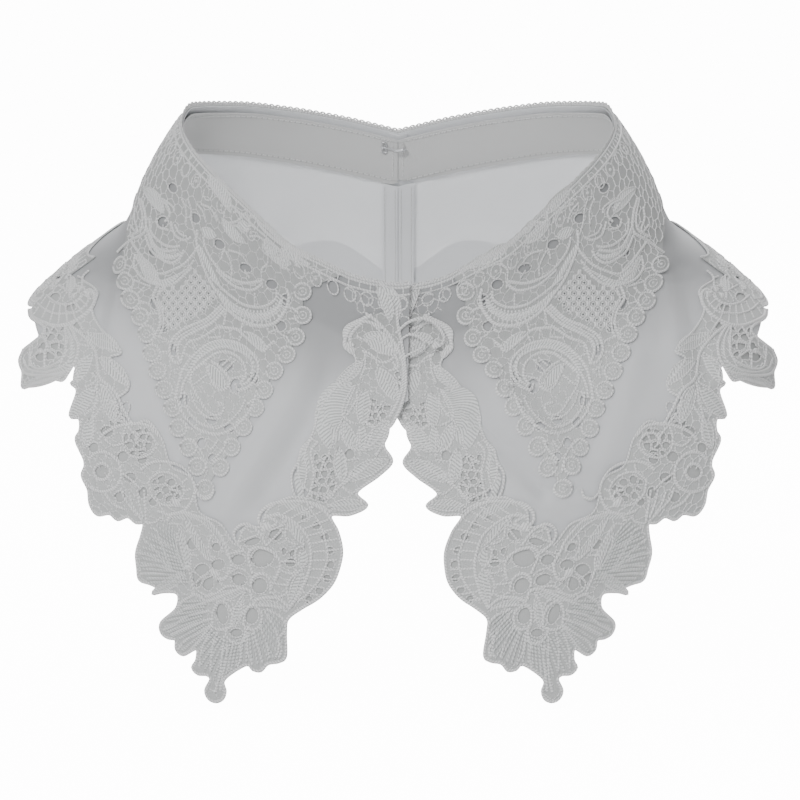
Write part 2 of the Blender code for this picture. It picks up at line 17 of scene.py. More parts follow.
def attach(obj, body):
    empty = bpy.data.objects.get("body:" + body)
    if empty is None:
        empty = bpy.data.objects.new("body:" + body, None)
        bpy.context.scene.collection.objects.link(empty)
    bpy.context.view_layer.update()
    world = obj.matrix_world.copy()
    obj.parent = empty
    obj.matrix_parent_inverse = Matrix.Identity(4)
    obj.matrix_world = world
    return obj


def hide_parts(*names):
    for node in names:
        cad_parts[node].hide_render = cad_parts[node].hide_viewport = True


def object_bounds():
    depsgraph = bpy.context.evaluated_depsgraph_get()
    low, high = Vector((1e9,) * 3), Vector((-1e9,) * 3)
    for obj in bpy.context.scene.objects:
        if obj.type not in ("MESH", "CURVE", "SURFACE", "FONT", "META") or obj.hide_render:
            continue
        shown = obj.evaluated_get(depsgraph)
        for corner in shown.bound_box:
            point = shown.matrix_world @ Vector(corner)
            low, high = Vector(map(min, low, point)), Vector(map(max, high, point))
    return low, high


bl_info = {
    "name": "False collar",
    "version": (1, 0, 0),
    "blender": (4, 5, 0),
    "location": "3D View > Sidebar > Collar",
    "description": "Sews a sheer false collar with corded lace over its packed solids",
    "category": "Object",
}

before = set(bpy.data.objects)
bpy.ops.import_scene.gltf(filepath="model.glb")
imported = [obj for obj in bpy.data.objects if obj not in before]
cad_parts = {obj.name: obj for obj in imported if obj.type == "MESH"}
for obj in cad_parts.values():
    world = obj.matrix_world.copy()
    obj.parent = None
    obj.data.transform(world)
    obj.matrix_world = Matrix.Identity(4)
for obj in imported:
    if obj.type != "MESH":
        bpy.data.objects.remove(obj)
CAD_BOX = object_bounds()
BODY = "root"
MM = 0.001

# The cloth's form, as in the solids
NECK_HALF_WIDTH = 106.0
NECK_FRONT_DEPTH = 65.0
NECK_BACK_DEPTH = 60.0
NECK_POINT_ROUND = math.radians(2.5)
BAND_GAP = 0.8
BAND_WALL = 1.2
BAND_HEIGHT = 25.0
BAND_DROP = 2.5
BAND_CORNER = 1.8
BAND_CORNER_ANGLE = 1.4
BAND_STEP = 1.8
BAND_PINCH = 0.35
SEAM_RUNS = (BAND_DROP + 2.2, BAND_DROP + BAND_HEIGHT - 2.4)
LEAF_WALL = 1.0
PLACKET_WIDTH = 8.0
UNDERLAP = 9.0
BACK_LENGTH = 112.0
BACK_SCALLOP = 4.0
BACK_SCALLOP_COUNT = 9
BACK_LACE_TOP = 76.0
BACK_LACE_WAVE = 6.0
SHOULDER_EXTRA = 8.0
SHOULDER_ANGLE = 84.0
LEAF_SHORT = 7.5
NECK_STRIP_DEPTH = 13.0
NECK_STRIP_SCALLOP = 1.5
LAP_ANGLE = 3.0
LAP_DEPTH = 3.8
LAP_FADE = (7, 24)
BACK_EDGE = math.pi - 0.06 / NECK_HALF_WIDTH
BACK_EDGE_DEGREES = math.degrees(BACK_EDGE)
PATTERN_RADIUS = 140.0
SIDES = (("right", -1), ("left", 1))

NECKLINE = (
    (0, -40), (12, -35), (21, -28), (28.5, -22), (37, -11), (46, 0), (59, 13),
    (79, 28), (90, 34), (107, 41), (132, 40), (148, 37), (164, 32), (180, 25),
)
FRONT_HANG = ((0, 0), (2, 4), (5, 22), (28, 60), (44, 108), (54, 178), (60, 250), (64, 310))
SIDE_HANG = (
    (0, 0), (5, 5), (19, 27), (32, 54), (45, 63), (64, 77), (79, 92), (85, 112), (87, 131), (88, 210),
)
BACK_HANG = ((0, 0), (2, 4), (5, 22), (22, 62), (34, 104), (38, 140))
FOLDS = (
    (10, 24, 2.0, 7.0), (26, 36, -1.6, 7.0), (56, 57, 1.4, 8.0),
    (76, 74, -1.4, 8.0), (118, 112, 1.6, 8.0), (150, 146, -1.4, 8.0),
)

# Creases of each front as seen: (side, height, half width, places along it)
CREASES = (
    (-1, 3.6, 6.5, ((41, 74), (58, 108), (86, 158))),
    (-1, -3.4, 6.0, ((28, 80), (44, 112), (68, 154))),
    (-1, 1.8, 5.0, ((20, 66), (30, 92), (36, 104))),
    (1, -4.6, 5.5, ((20, 80), (50, 122), (74, 148))),
    (1, 3.0, 6.5, ((34, 76), (62, 110), (90, 140))),
    (-1, 2.0, 5.0, ((132, 30), (140, 60), (146, 96))),
    (-1, -2.0, 4.5, ((144, 34), (150, 64), (156, 90))),
    (1, 2.0, 5.0, ((130, 34), (138, 66), (142, 100))),
    (1, -2.0, 4.5, ((142, 36), (150, 70), (154, 92))),
    (1, 1.6, 6.0, ((120, 80), (112, 110), (96, 150))),
    (-1, 1.6, 6.0, ((124, 96), (116, 120), (104, 150))),
)

# How the motifs are seen: from this far in front and this angle above
SEEN_FROM = 1500.0
SEEN_TILT = math.radians(9.0)
SEEN_TARGET_HEIGHT = -104.0
POINT_SHIFT = 14.0
POINT_SHIFT_SPAN = (137.0, 253.0)
PANEL_SHIFT = 13.5
PANEL_SHIFT_AT_SHOULDER = 8.5

LEAF_HEM = (
    (-5, 103), (2, 108), (7, 124), (16, 138), (30, 152), (36, 163), (34, 178), (42, 192),
    (58, 204), (64, 222), (80, 230), (92, 234), (102, 222), (107, 205), (120, 190), (124, 170),
    (136, 158), (148, 146), (151, 128), (153, 108), (155, 92), (158, 84), (170, 86), (180, 82), (180, 70),
)
LACE_OUTER = (
    (184, 58), (183, 62), (177, 66), (176.5, 69.5), (183, 75), (186.5, 78), (188, 83.5), (187, 89.5),
    (187, 96.5), (181.5, 95), (172.5, 92.5), (167, 93), (164, 89), (161.5, 85.5), (160, 92), (163, 94.5),
    (160, 98.5), (163.5, 110.5), (159, 112), (158.5, 118), (160.5, 123), (156, 134), (157.5, 140.5),
    (154.5, 147.5), (153.5, 155), (150, 160), (144, 159.5), (140, 162.5), (135, 161), (131, 164),
    (127, 164.5), (128, 170.5), (130.5, 179), (130, 186.5), (129, 192.5), (124, 194.5), (120.5, 196.5),
    (122.5, 199.5), (117, 198.5), (110, 199.5), (110.5, 207), (118, 214), (118, 219), (115, 221.5),
    (111, 222.5), (110.5, 227.5), (107, 230), (100.5, 227), (100.5, 233), (102.5, 236.5), (100, 239.5),
    (95.5, 240), (93.5, 242.5), (96, 248), (94.5, 252), (91, 253.5), (87.5, 252), (86, 248), (86.5, 242),
    (76, 235), (72.5, 237.5), (68.5, 238), (65, 234.5), (59.5, 233.5), (56, 230.5), (56, 219), (55, 212),
    (48.5, 207), (39.5, 201.5), (32.5, 194), (29, 185), (28, 177.5), (30, 168.5), (33.5, 160.5),
    (24, 160), (15.5, 155.5), (20.5, 149), (9.5, 140.5), (3, 133.5), (7, 126), (6, 118.5), (2.5, 114.5),
    (-2, 105), (-4, 95), (-3.5, 85), (-2, 75), (0, 65), (0.5, 56),
)
LACE_INNER = (
    (13, 60), (26, 66.5), (26, 75), (21, 82.5), (23, 90), (31.5, 97.5), (39, 107.5), (43, 120), (49, 130),
    (49, 142.5), (43, 151.5), (54, 151.5), (65, 157.5), (68, 166), (76, 166.5), (81, 175), (88, 165),
    (99, 158.5), (102.5, 142.5), (113, 135.5), (117.5, 122.5), (125, 113.5), (134, 115), (141.5, 104),
    (134.5, 96.5), (143, 83.5), (138, 79), (149, 66.5), (153, 57.5), (150.5, 48.5), (157, 43.5),
)
LACE_GAPS = (
    (67.5, 181.5, 6.0, 5.0, 20), (69, 195.5, 4.0, 4.2, 0), (87.5, 209.5, 3.0, 5.6, 10),
    (73, 210.5, 3.6, 4.4, 0), (80.5, 219, 3.2, 2.4, 0), (94.5, 196.2, 5.0, 3.4, 15),
    (79, 192.5, 4.0, 3.2, -20), (79.5, 182.5, 3.6, 3.0, 0), (89.5, 185, 3.6, 3.0, 0),
    (99, 184.5, 3.2, 3.6, 0), (102.5, 174.5, 2.6, 3.4, 0), (61, 170, 3.6, 3.2, 30),
    (72.5, 173.5, 4.2, 2.2, 15), (90, 176, 2.8, 2.6, 0), (53.5, 184, 2.8, 2.4, 0),
    (117, 150, 2.6, 2.4, 0), (111, 153.5, 2.4, 2.2, 0), (122, 153.5, 2.2, 2.4, 0),
    (147.5, 138.5, 3.6, 3.6, 0), (129, 122, 3.4, 2.6, 20), (137, 131, 3.0, 3.0, 0),
    (133.5, 141.5, 3.2, 2.8, 0), (138.5, 151, 3.0, 3.0, 0), (127.5, 132, 2.6, 3.0, 0),
    (127, 149, 2.4, 3.2, 0), (151.5, 126.5, 2.6, 2.8, 0), (137, 108, 2.6, 4.6, -30),
    (145, 118.5, 3.4, 3.0, 0), (152, 93, 2.2, 3.2, -20), (156, 77.5, 3.2, 3.6, 0),
    (160.5, 66.5, 2.6, 2.6, -40), (170, 69.5, 3.6, 3.6, 0), (170.5, 79.5, 3.6, 4.0, 20),
    (179, 81.5, 3.2, 3.4, 0), (162, 47.5, 3.2, 2.6, 35), (171, 52, 3.0, 2.4, 35), (163, 57, 2.8, 2.2, 20),
    (12, 74, 2.4, 3.0, 0), (25, 105, 3.0, 2.6, 0), (22, 115.5, 3.2, 3.2, 0), (39.5, 129, 2.4, 3.6, 10),
    (41, 145, 3.0, 3.4, 0), (24, 130, 2.6, 3.0, 0), (14, 129.5, 2.8, 2.4, 0), (23.5, 142.5, 3.2, 2.6, 0),
    (5, 92, 2.4, 3.8, 0), (11, 112.5, 2.8, 3.4, 0), (33, 139, 2.6, 3.0, 0), (33.5, 150, 3.0, 2.4, 0),
    (31, 118, 2.4, 3.0, 0), (13, 100, 2.4, 3.0, 20),
)
CRESCENT_CENTRE = (57.5, 182.5)
CRESCENT_CELL_RADIUS = 24.0
CRESCENT_CELL_HALF = (2.3, 2.2)
CRESCENT_CELLS = 8
CRESCENT_FIRST = -62.0
CRESCENT_STEP = 17.0
PANEL_SHOULDER_STRING = (
    (138.5, 36), (135.5, 45), (133, 53.5), (128.5, 61.5), (125.5, 70), (123, 79.5), (120, 88.5),
    (116.5, 98), (112.5, 107), (109.5, 117), (104.5, 126.5), (100, 136), (96, 147),
)
PANEL_FRONT_STRING = (
    (88.5, 136.5), (83, 126.5), (77, 116.5), (71, 107), (66.5, 98), (61.5, 88.5), (55.5, 80.5),
    (51, 71.5), (47.5, 60.5), (47.5, 48.5),
)
PANEL_RING_RADIUS = 4.1
KNOT_SPACING = 4.4
PANEL_GAPS = (
    (121, 55, 2.6, 3.6, 20), (117, 66, 2.4, 3.6, 10), (112, 78, 2.4, 3.4, 10), (106.5, 103, 2.4, 3.4, 10),
    (103, 114, 2.4, 3.2, 10), (98, 124.5, 2.4, 3.0, 0), (92.5, 132, 2.4, 2.6, 0), (86, 86, 4.0, 3.2, -20),
    (81, 96, 3.0, 4.0, 0), (91, 95, 2.6, 3.4, 0), (56, 53, 2.8, 3.4, 0), (59, 66, 3.4, 3.0, 0),
    (68, 78, 3.4, 2.6, -20), (77, 70, 3.4, 2.4, 10), (72, 92, 2.6, 3.4, 0), (84, 117, 3.0, 2.6, 0),
    (93, 113, 2.8, 2.4, 0), (63, 45, 3.2, 2.6, -30), (76, 37, 3.4, 2.4, -30), (89, 25, 3.2, 2.4, -40),
    (101, 12, 3.0, 2.4, -50), (112, -3, 2.8, 2.2, -60), (117, 14, 2.8, 3.0, 0), (121, 29, 3.0, 2.6, 0),
)

# Gaps of one scallop of the back edging: part of its width from its middle, run, half width, half height
BACK_GAPS = ((-0.22, 101, 3.8, 3.0), (0.22, 101, 3.8, 3.0), (0.0, 90.5, 3.8, 3.2))

# Spacing along the neckline of its small loops, its bars and the scallops of its edge
NECK_LOOP_SPACING = 8.0
NECK_BAR_SPACING = 5.2
PICOT_LENGTH = 3.4

# Hook and thread bar: places across the slit or along the run, and clear of the band
HOOK_RUN = 9.0
HOOK_PATH = ((-7, 0.9), (-4, 0.9), (-1, 0.9), (2, 0.9), (3.6, 1.5), (3.6, 2.8), (2, 3.3), (-1.5, 3.3))
HOOK_BACK = -7
SEWING_LOOP = ((-1.7, 0.0), (-1.0, 1.1), (0, 0.5))
EYE_OFFSET = 1.5
EYE_RADIUS = 1.3
BAR_ACROSS = 2.7
BAR_PATH = ((-3.2, 0.3), (-2.2, 2.0), (0, 2.15), (2.2, 2.0), (3.2, 0.3))

# Lifts over the leaf's outer face, millimetres
GROUND_LOW = 0.35
GROUND_HIGH = 0.8
CORD_BASE = 0.7
CORD_FULLNESS = 1.25

# Sections of the threads: part of the half width across, and height
CORD_SECTION = ((-1, 0), (-0.72, 0.7), (0, 1), (0.72, 0.7), (1, 0))
FILLING_SECTION = ((-1, 0), (-0.6, 0.8), (0, 1), (0.6, 0.8), (1, 0))
NET_SECTION = ((-1, 0), (0, 0.5), (1, 0))
NET_STRETCH = 0.8
GAP_RIM = (0.7, 0.5)
BEAD_SIDES = 8
BEAD_RINGS = ((1, 0), (0.85, 0.5), (0.5, 0.85))

# Studio: floor, air and lights (name, place in metres, side length, power)
FLOOR_HALF = 30.0
FLOOR_DROP = 0.004
FLOOR_SEEN = 13.5
AIR_SEEN = 15.0
AIR_LIGHT = 0.5
LIGHTS = (
    ("light_key", (-0.58, -1.2, 0.85), 0.4, 14.5),
    ("light_above", (0.1, -0.3, 1.5), 0.9, 4.0),
    ("light_behind", (0.6, 1.2, 1.0), 1.0, 15.0),
)

# Motifs of the edging: cords (width, then out and down in turn), leaves (tip, tip, half width, bend, ribs),
# ribs (line, line, count), net (outline, cell size), satin (line, half width) and beads (place, radius)
EDGE_CORDS = (
    (0.9, 104, 188, 103, 181, 106, 173, 108.5, 167), (0.9, 106, 187.5, 110, 178.5, 110, 168.5),
    (0.9, 112.5, 187, 116.5, 178.5, 120, 168.5, 123.5, 166.5), (0.9, 115, 185.5, 121.5, 177, 127, 172),
    (0.9, 113.5, 186, 123.5, 180.5, 130, 179), (0.9, 107.5, 189.5, 120, 185.5, 128.5, 185.5),
    (0.9, 108, 191, 120, 189.5, 128.5, 189.5),
    (0.8, 108.5, 168, 111, 164.5, 115, 164.5, 118, 161.5, 120.5, 163.5, 125, 164.5),
    (0.8, 110, 175, 113.5, 175.5, 117, 174, 123, 170),
    (0.8, 110.5, 181, 115, 180.5, 119.5, 178.5, 124, 175.5), (1.1, 104, 187, 103, 192.5, 101.5, 198.5),
    (1.3, 115, 163, 112.5, 160, 106, 159, 101.5, 160.5, 94.5, 163, 90, 168, 86.5, 173.5, 85, 179, 83, 184.5,
        85, 190.5, 88.5, 192.5, 92, 189.5),
    (0.9, 106, 160, 100.5, 162, 96, 165, 92.5, 169, 88.5, 175, 87.5, 179),
    (0.9, 106.5, 161.5, 104, 168.5, 99.5, 170.5, 99, 177, 94.5, 182.5, 90.5, 181),
    (0.9, 92.5, 170, 94, 174, 94, 178.5, 92, 182), (0.8, 92.5, 173.5, 88.5, 174),
    (0.8, 104, 180, 99, 180.5), (0.8, 85.5, 180, 76.5, 178),
    (0.8, 85.5, 191, 80.5, 187, 76, 188, 73.5, 191), (0.8, 100.5, 194, 97.5, 191, 94.5, 189.5),
    (0.8, 100.5, 194.5, 99.5, 198, 94.5, 201), (0.8, 89, 193, 87, 196),
    (1.2, 76.5, 178, 80.5, 174, 81.5, 169, 78.5, 165.5, 74.5, 165, 69.5, 168.5, 65.5, 175.5),
    (0.8, 80, 174, 69.5, 170), (0.8, 78.5, 168.5, 76, 167, 72.5, 169),
    (1.4, 66.5, 166.5, 69.5, 163, 68, 158, 62.5, 154.5, 53.5, 153.5, 45, 154, 37, 158, 33, 163),
    (1.2, 68, 168, 60.5, 164.5, 64, 161.5, 66, 161, 58, 160.5, 51, 164.5, 45.5, 170.5, 43.5, 179, 44, 187,
        47, 195, 51, 202, 54.5, 207),
    (0.9, 46.5, 153, 43, 158.5, 38.5, 165.5, 36, 174, 35, 180.5, 36.5, 187, 39.5, 193, 45, 199.5, 50,
        203.5), (0.9, 58, 161.5, 54.5, 165.5, 50.5, 172, 47, 175.5, 50.5, 177, 51, 182.5, 48.5, 186),
    (0.9, 47.5, 187, 51, 189.5, 54, 192.5, 55.5, 196.5, 54.5, 203, 53.5, 206.5),
    (0.9, 56, 166.5, 56, 171.5, 53.5, 174, 50, 175), (0.8, 64.5, 168, 56, 165),
    (0.8, 65.5, 175.5, 57, 166.5),
    (1.2, 72.5, 189.5, 74.5, 181, 73, 177.5, 69, 176.5, 63, 178.5, 59.5, 182, 59, 187, 61.5, 193),
    (1.2, 73.5, 196, 72.5, 191.5, 68, 189.5, 64, 192.5, 63.5, 199.5),
    (0.9, 59.5, 183.5, 52, 183.5, 49, 186), (0.9, 59.5, 187.5, 53.5, 189.5, 50, 187.5),
    (0.9, 63, 194, 58, 195, 54.5, 195), (0.8, 64, 198, 59.5, 201, 55.5, 199.5),
    (0.8, 83, 185.5, 78.5, 187, 74.5, 189), (0.8, 76.5, 178.5, 73.5, 181),
    (1.3, 102.5, 199.5, 99, 200.5, 95.5, 203, 90.5, 202, 85, 199.5, 78, 197, 73.5, 198.5, 72.5, 203, 66.5,
        201.5, 59.5, 202, 54.5, 206.5), (1.0, 96, 201, 90.5, 199.5, 85.5, 196, 80.5, 196, 76, 197.5),
    (1.0, 71, 202, 71, 205, 64, 205.5, 58, 206.5, 55.5, 208.5), (0.9, 86.5, 202, 83, 203.5, 82, 207),
    (0.9, 76, 198.5, 79.5, 203.5, 82, 209, 83, 215, 80.5, 216), (0.9, 78, 203, 78, 208.5, 79.5, 212.5),
    (0.9, 75, 207, 78, 208.5), (1.0, 94.5, 203.5, 104.5, 206.5, 110, 209),
    (1.0, 93.5, 208, 104, 210.5, 111, 215, 116.5, 217.5), (1.0, 93, 212, 103, 215.5, 113, 220),
    (1.0, 92.5, 215, 100.5, 220, 106.5, 223.5, 109.5, 227.5), (1.0, 94.5, 217, 99.5, 223.5, 103, 227.5),
    (1.0, 101.5, 200, 107.5, 203.5, 109.5, 207), (1.0, 92.5, 217, 97.5, 227, 99, 236.5),
    (1.0, 90, 218.5, 92.5, 227, 93.5, 238), (1.0, 86.5, 220.5, 87.5, 229, 89, 241, 91, 248.5),
    (1.0, 82, 224, 83.5, 231, 85, 238.5), (1.0, 78.5, 224, 78.5, 231, 80, 236),
    (1.0, 85, 223.5, 85.5, 231.5, 87.5, 241, 88.5, 248), (1.0, 75, 218.5, 75, 228, 72.5, 235),
    (1.0, 72.5, 217, 69.5, 227, 67.5, 234), (1.0, 69, 215, 65.5, 224.5, 64, 231.5),
    (1.0, 66.5, 208, 61, 217.5, 59.5, 227, 61, 231),
    (1.2, 65.5, 207, 58, 211.5, 56, 217.5, 59.5, 222, 58, 227.5, 59.5, 231.5),
    (1.0, 100.5, 224.5, 94.5, 217.5, 92, 215), (1.0, 76.5, 223.5, 76, 218.5, 73.5, 215.5),
    (1.1, 92.5, 216, 92, 208.5, 88.5, 203, 83.5, 207, 83, 215.5, 89, 217.5, 92.5, 216),
    (1.1, 77, 215, 76, 208.5, 72.5, 205, 68, 209, 69, 215.5, 73, 217.5, 77, 215),
    (1.1, 85.5, 216, 85.5, 220.5, 82, 224, 78, 223.5, 76, 219, 76.5, 216),
    (1.5, 14, 61, 17, 62, 19.5, 64.5, 23, 66, 25, 69.5, 26.5, 73, 26.5, 76.5, 23.5, 79),
    (1.3, 18, 64.5, 21, 67, 23.5, 70.5, 24, 74, 22, 76),
    (1.3, 16, 59.5, 11, 63, 6.5, 67.5, 2.5, 73, -0.5, 78.5, -2.5, 84.5, -3, 91.5, -2, 98.5, 1, 106, 4.5,
        112), (1.0, 13.5, 64, 8, 69.5, 4.5, 74.5, 0.5, 82.5, 0, 87),
    (1.0, 20.5, 71, 16, 73, 11, 71, 8, 73, 5, 77, 1, 80), (1.0, 18, 78.5, 14, 80, 9.5, 84, 5, 84, 1, 81),
    (1.4, 26.5, 71.5, 25.5, 67.5, 22, 64.5, 17.5, 63.5, 12.5, 64.5, 8, 67),
    (1.2, 1, 69.5, -5, 64, -12, 62, -18.5, 64.5, -23, 71, -21.5, 75.5, -18, 75.5),
    (1.0, 0, 77.5, -2, 72.5, -7, 70, -13, 73.5, -11, 77.5, -5, 80.5, -2, 83.5),
    (1.0, 4.5, 113.5, 5, 120, 8, 126, 11, 131), (0.9, 19, 116, 19, 123, 19, 131),
    (0.9, 16, 115, 12.5, 116.5, 14, 123, 16.5, 127.5),
    (0.9, 27, 113.5, 27, 122, 25, 126, 19, 128, 11, 123.5, 5, 113.5),
    (0.9, 22, 96, 27, 105, 27, 111.5, 21, 115), (0.9, 25.5, 110.5, 21, 103.5, 20.5, 99),
    (0.8, 14, 98.5, 12, 99), (0.8, 15, 108.5, 10.5, 108.5, 7.5, 103.5),
    (0.8, 10.5, 108.5, 8, 113, 4.5, 113.5), (0.8, 16, 113.5, 12.5, 116.5, 8, 114.5),
    (0.8, 4.5, 88.5, 0.5, 87.5, -1, 85.5), (0.8, 2.5, 95.5, -2, 94.5), (0.8, 16.5, 79, 16.5, 86, 19, 93),
    (0.8, 14, 87.5, 17.5, 87.5), (0.8, 11, 84, 9.5, 86.5), (0.8, 2.5, 84, 1, 87, 4.5, 89),
    (1.1, 42.5, 122, 48, 126.5, 49.5, 133, 53, 139.5, 52.5, 147.5, 50, 154),
    (1.0, 40, 123.5, 43.5, 129, 42, 139, 43.5, 147.5, 46.5, 153.5),
    (0.9, 44, 123, 46.5, 130.5, 45.5, 139.5, 48, 149.5), (0.8, 41, 133.5, 35.5, 131, 34, 128),
    (0.8, 42, 138, 33.5, 137.5), (0.8, 36.5, 132, 38.5, 137.5), (0.8, 41.5, 143.5, 35.5, 146, 32, 142.5),
    (0.8, 35.5, 146, 35, 150.5, 38, 152.5), (0.8, 43.5, 149, 37, 152, 35, 155.5),
    (0.8, 30.5, 144, 32.5, 150.5, 35.5, 152.5), (0.9, 27, 145, 22, 141, 16, 136.5, 11, 132),
    (0.9, 26.5, 133.5, 25.5, 139, 28, 144), (0.8, 25, 133, 19, 132), (0.8, 24, 139.5, 19.5, 141),
    (1.0, 35.5, 152, 29, 146, 23.5, 140.5), (1.0, 45.5, 153.5, 38.5, 155.5, 33.5, 159),
    (0.8, 45, 159, 40, 153.5), (0.8, 29, 145, 23.5, 149.5, 20.5, 147.5),
    (1.4, 183, 58, 182, 61.5, 176, 64.5, 170.5, 66, 164, 65, 157, 61, 152.5, 55.5, 151.5, 50, 154, 48,
        156.5, 50), (0.9, 179.5, 55, 176, 58, 170.5, 60, 166, 60, 159.5, 59, 155, 54.5, 154, 50.5),
    (1.0, 175, 51, 170.5, 54.5, 164.5, 55.5, 159.5, 53.5, 157, 50.5),
    (1.1, 163.5, 52.5, 163.5, 49.5, 160.5, 46.5, 156, 47.5), (0.9, 157.5, 46.5, 157, 41.5, 154, 38.5),
    (0.9, 163.5, 48.5, 163, 41.5, 164, 41), (0.9, 169, 46, 164.5, 48.5), (0.8, 159.5, 41.5, 157, 42.5),
    (1.3, 163, 66, 156, 72, 151.5, 78.5, 150, 85, 148, 92.5, 141, 99, 137.5, 106.5, 133, 114.5),
    (0.9, 163, 66.5, 160.5, 64), (0.9, 159.5, 64, 156.5, 68.5), (0.8, 159, 75, 154.5, 75.5),
    (0.9, 153, 78.5, 159.5, 84.5),
    (1.0, 166, 66.5, 165.5, 73.5, 166, 80, 168.5, 83.5, 175.5, 87, 181.5, 86.5, 183, 81, 183, 76, 180, 73,
        177, 71.5, 175, 75.5, 176, 78.5, 178.5, 77.5),
    (1.2, 164, 66, 161, 71, 159.5, 76.5, 161, 83.5, 164.5, 88, 170.5, 90, 180, 90.5, 186, 89, 188.5, 83.5,
        186.5, 77.5),
    (0.9, 165.5, 66.5, 163, 72, 162.5, 78.5, 164, 83.5, 170, 87.5, 177, 89, 184, 87, 186, 83),
    (0.8, 171.5, 66.5, 175.5, 73), (0.8, 174.5, 75, 166.5, 73.5), (0.8, 174.5, 78, 169, 82),
    (0.8, 176, 79.5, 176, 86.5), (0.8, 178.5, 78.5, 182.5, 82), (0.8, 176, 66.5, 175.5, 71),
    (0.9, 150.5, 89.5, 148, 90.5), (0.9, 152.5, 89.5, 150.5, 93.5, 156, 96.5),
    (0.9, 149, 94, 150, 102, 152.5, 112), (0.9, 147.5, 96, 143, 99, 140.5, 105, 140.5, 112, 141, 114.5),
    (0.9, 156, 110.5, 150.5, 105, 149, 102), (0.9, 147.5, 106, 151.5, 112),
    (1.0, 152, 111, 151.5, 117, 152, 122), (1.0, 157, 112, 158.5, 117, 159, 122),
    (1.2, 149, 122.5, 146.5, 119.5, 141, 116.5, 133, 114.5, 124, 116, 119, 121),
    (0.9, 135, 115, 137, 120.5, 136, 127.5, 131, 131.5, 124, 130, 120.5, 125.5, 123, 120.5, 128, 119.5, 131,
        123, 128, 126.5), (0.9, 135.5, 115, 131, 120.5, 129.5, 124.5),
    (0.9, 146, 122.5, 142, 125.5, 137, 124.5),
    (1.2, 157, 128.5, 156, 135.5, 157, 141.5, 153, 146.5, 147, 148.5, 141, 146.5, 138, 141.5, 139, 134.5,
        144, 129.5, 150, 129, 154, 132.5),
    (1.0, 143, 138.5, 145, 142, 149, 142.5, 151.5, 139, 150, 135.5, 146, 134.5, 143, 138.5),
    (1.1, 128, 137.5, 124, 134.5, 118, 133.5, 110, 135, 104, 139.5, 101, 146.5, 103, 154, 107.5, 158.5, 114,
        160, 120, 158),
    (0.9, 124, 142.5, 119, 139, 113, 139.5, 108, 143, 106, 148, 109, 153.5, 114.5, 155.5, 120, 153.5, 123.5,
        148.5, 124, 142.5), (1.1, 111, 154, 108, 152, 109, 148.5, 113, 147.5),
    (1.0, 126.5, 147.5, 126, 155.5, 125.5, 164), (1.0, 130, 147.5, 129, 154.5, 127, 161.5),
    (1.0, 134, 148.5, 132, 155.5, 128, 162.5), (1.0, 138, 146.5, 136, 152.5, 132, 157.5, 127, 163.5),
    (1.0, 137, 139.5, 132, 143.5, 128, 147.5), (1.0, 146, 149.5, 142, 154.5, 136, 157.5),
    (1.1, 101, 144.5, 100.5, 148.5, 97.5, 152, 93.5, 151.5, 91.5, 147.5),
)
EDGE_LEAVES = (
    ((18, 83), (31, 94), 2.75, 1.5, 2), ((21, 95.5), (34, 127.5), 6.5, -7, 0),
    ((16.5, 97.5), (18, 116), 3.25, 0, 1), ((11, 87), (1, 103.5), 4, 1, 1),
    ((27, 113.5), (20.5, 127.5), 3, -1, 1), ((18, 115), (18, 127.5), 2, 0, 0),
    ((5, 113.5), (17.5, 128), 3.5, 1, 2), ((29.5, 126.5), (28, 144), 3, 0, 1),
    ((25.5, 143.5), (4.5, 133), 3.25, 1, 1), ((35, 156.5), (15, 155), 2.5, 0.5, 1),
    ((17.5, 71.5), (1, 81), 5, 2, 1), ((105, 189), (122.5, 199.5), 2, 0, 1),
    ((105, 161.5), (92, 182.5), 2.5, -2, 0), ((59.5, 161), (47, 175.5), 2.25, 1.5, 0),
    ((47.5, 176.5), (49, 186.5), 2, 1, 0), ((48, 187.5), (54.5, 204.5), 2.75, 1, 1),
    ((95.5, 202), (76, 197), 1.75, -1, 0), ((82, 216), (77, 201), 2, 0, 1),
    ((71, 203), (56, 207), 1.25, 0.5, 0), ((109.5, 168), (105, 188), 2.25, 1, 1),
    ((156.5, 69.5), (138, 79.5), 3.25, 1, 1), ((149, 82.5), (134, 96), 3.25, 1, 1),
    ((148, 96), (141, 114.5), 3.25, 0, 1), ((153, 79.5), (161.5, 95), 3.25, -1, 1),
    ((150.5, 96.5), (163, 111), 3.5, 0, 1), ((153, 112), (156.5, 127), 3, 0, 1),
    ((187.5, 96), (166, 90), 2, 0, 1), ((163, 41.5), (163, 49.5), 2.5, 0, 0),
    ((11, 46.5), (4, 63.5), 2.75, 2, 1),
)
PETAL_RIBS = (
    (((94.9, 203.1), (97.4, 212.5), (91.2, 218.5), (84.6, 222.8), (77.1, 220.9), (69.6, 216.3), (63.1,
        206.9)), ((109.5, 203.6), (117.2, 215.7), (108.6, 228), (100.2, 235.2), (94, 241), (86.5, 241),
        (77.1, 234.6), (67.8, 236), (57.2, 229), (56.8, 213.4)), 36),
    (((110.9, 171.2), (107.1, 184.4), (104.3, 193.7)), ((116.5, 161.5), (124.3, 167.2), (128.4, 176.9),
        (128.6, 187), (124.5, 194)), 15),
)
EDGE_RIBS = (
    (((58, 160.5), (51, 164.5), (45.5, 170.5), (43.5, 179), (44, 187), (47, 195), (51, 202)), ((46.5, 153),
        (37, 158), (32, 165.5), (28.5, 175.5), (29, 188), (33.5, 196.5), (43, 203.5)), 13),
    (((175, 51), (170.5, 54.5), (164.5, 55.5), (159.5, 53.5), (157, 50.5)), ((182, 61), (176, 64.5),
        (170.5, 66), (164, 65), (157, 61), (152, 53)), 9),
    (((119, 139), (113, 139.5), (108, 143), (106, 148), (109, 153.5), (114.5, 155.5), (120, 153.5)),
        ((118, 133.5), (110, 135), (104, 139.5), (101, 146.5), (103, 154), (107.5, 158.5), (116, 159.5)), 9),
)
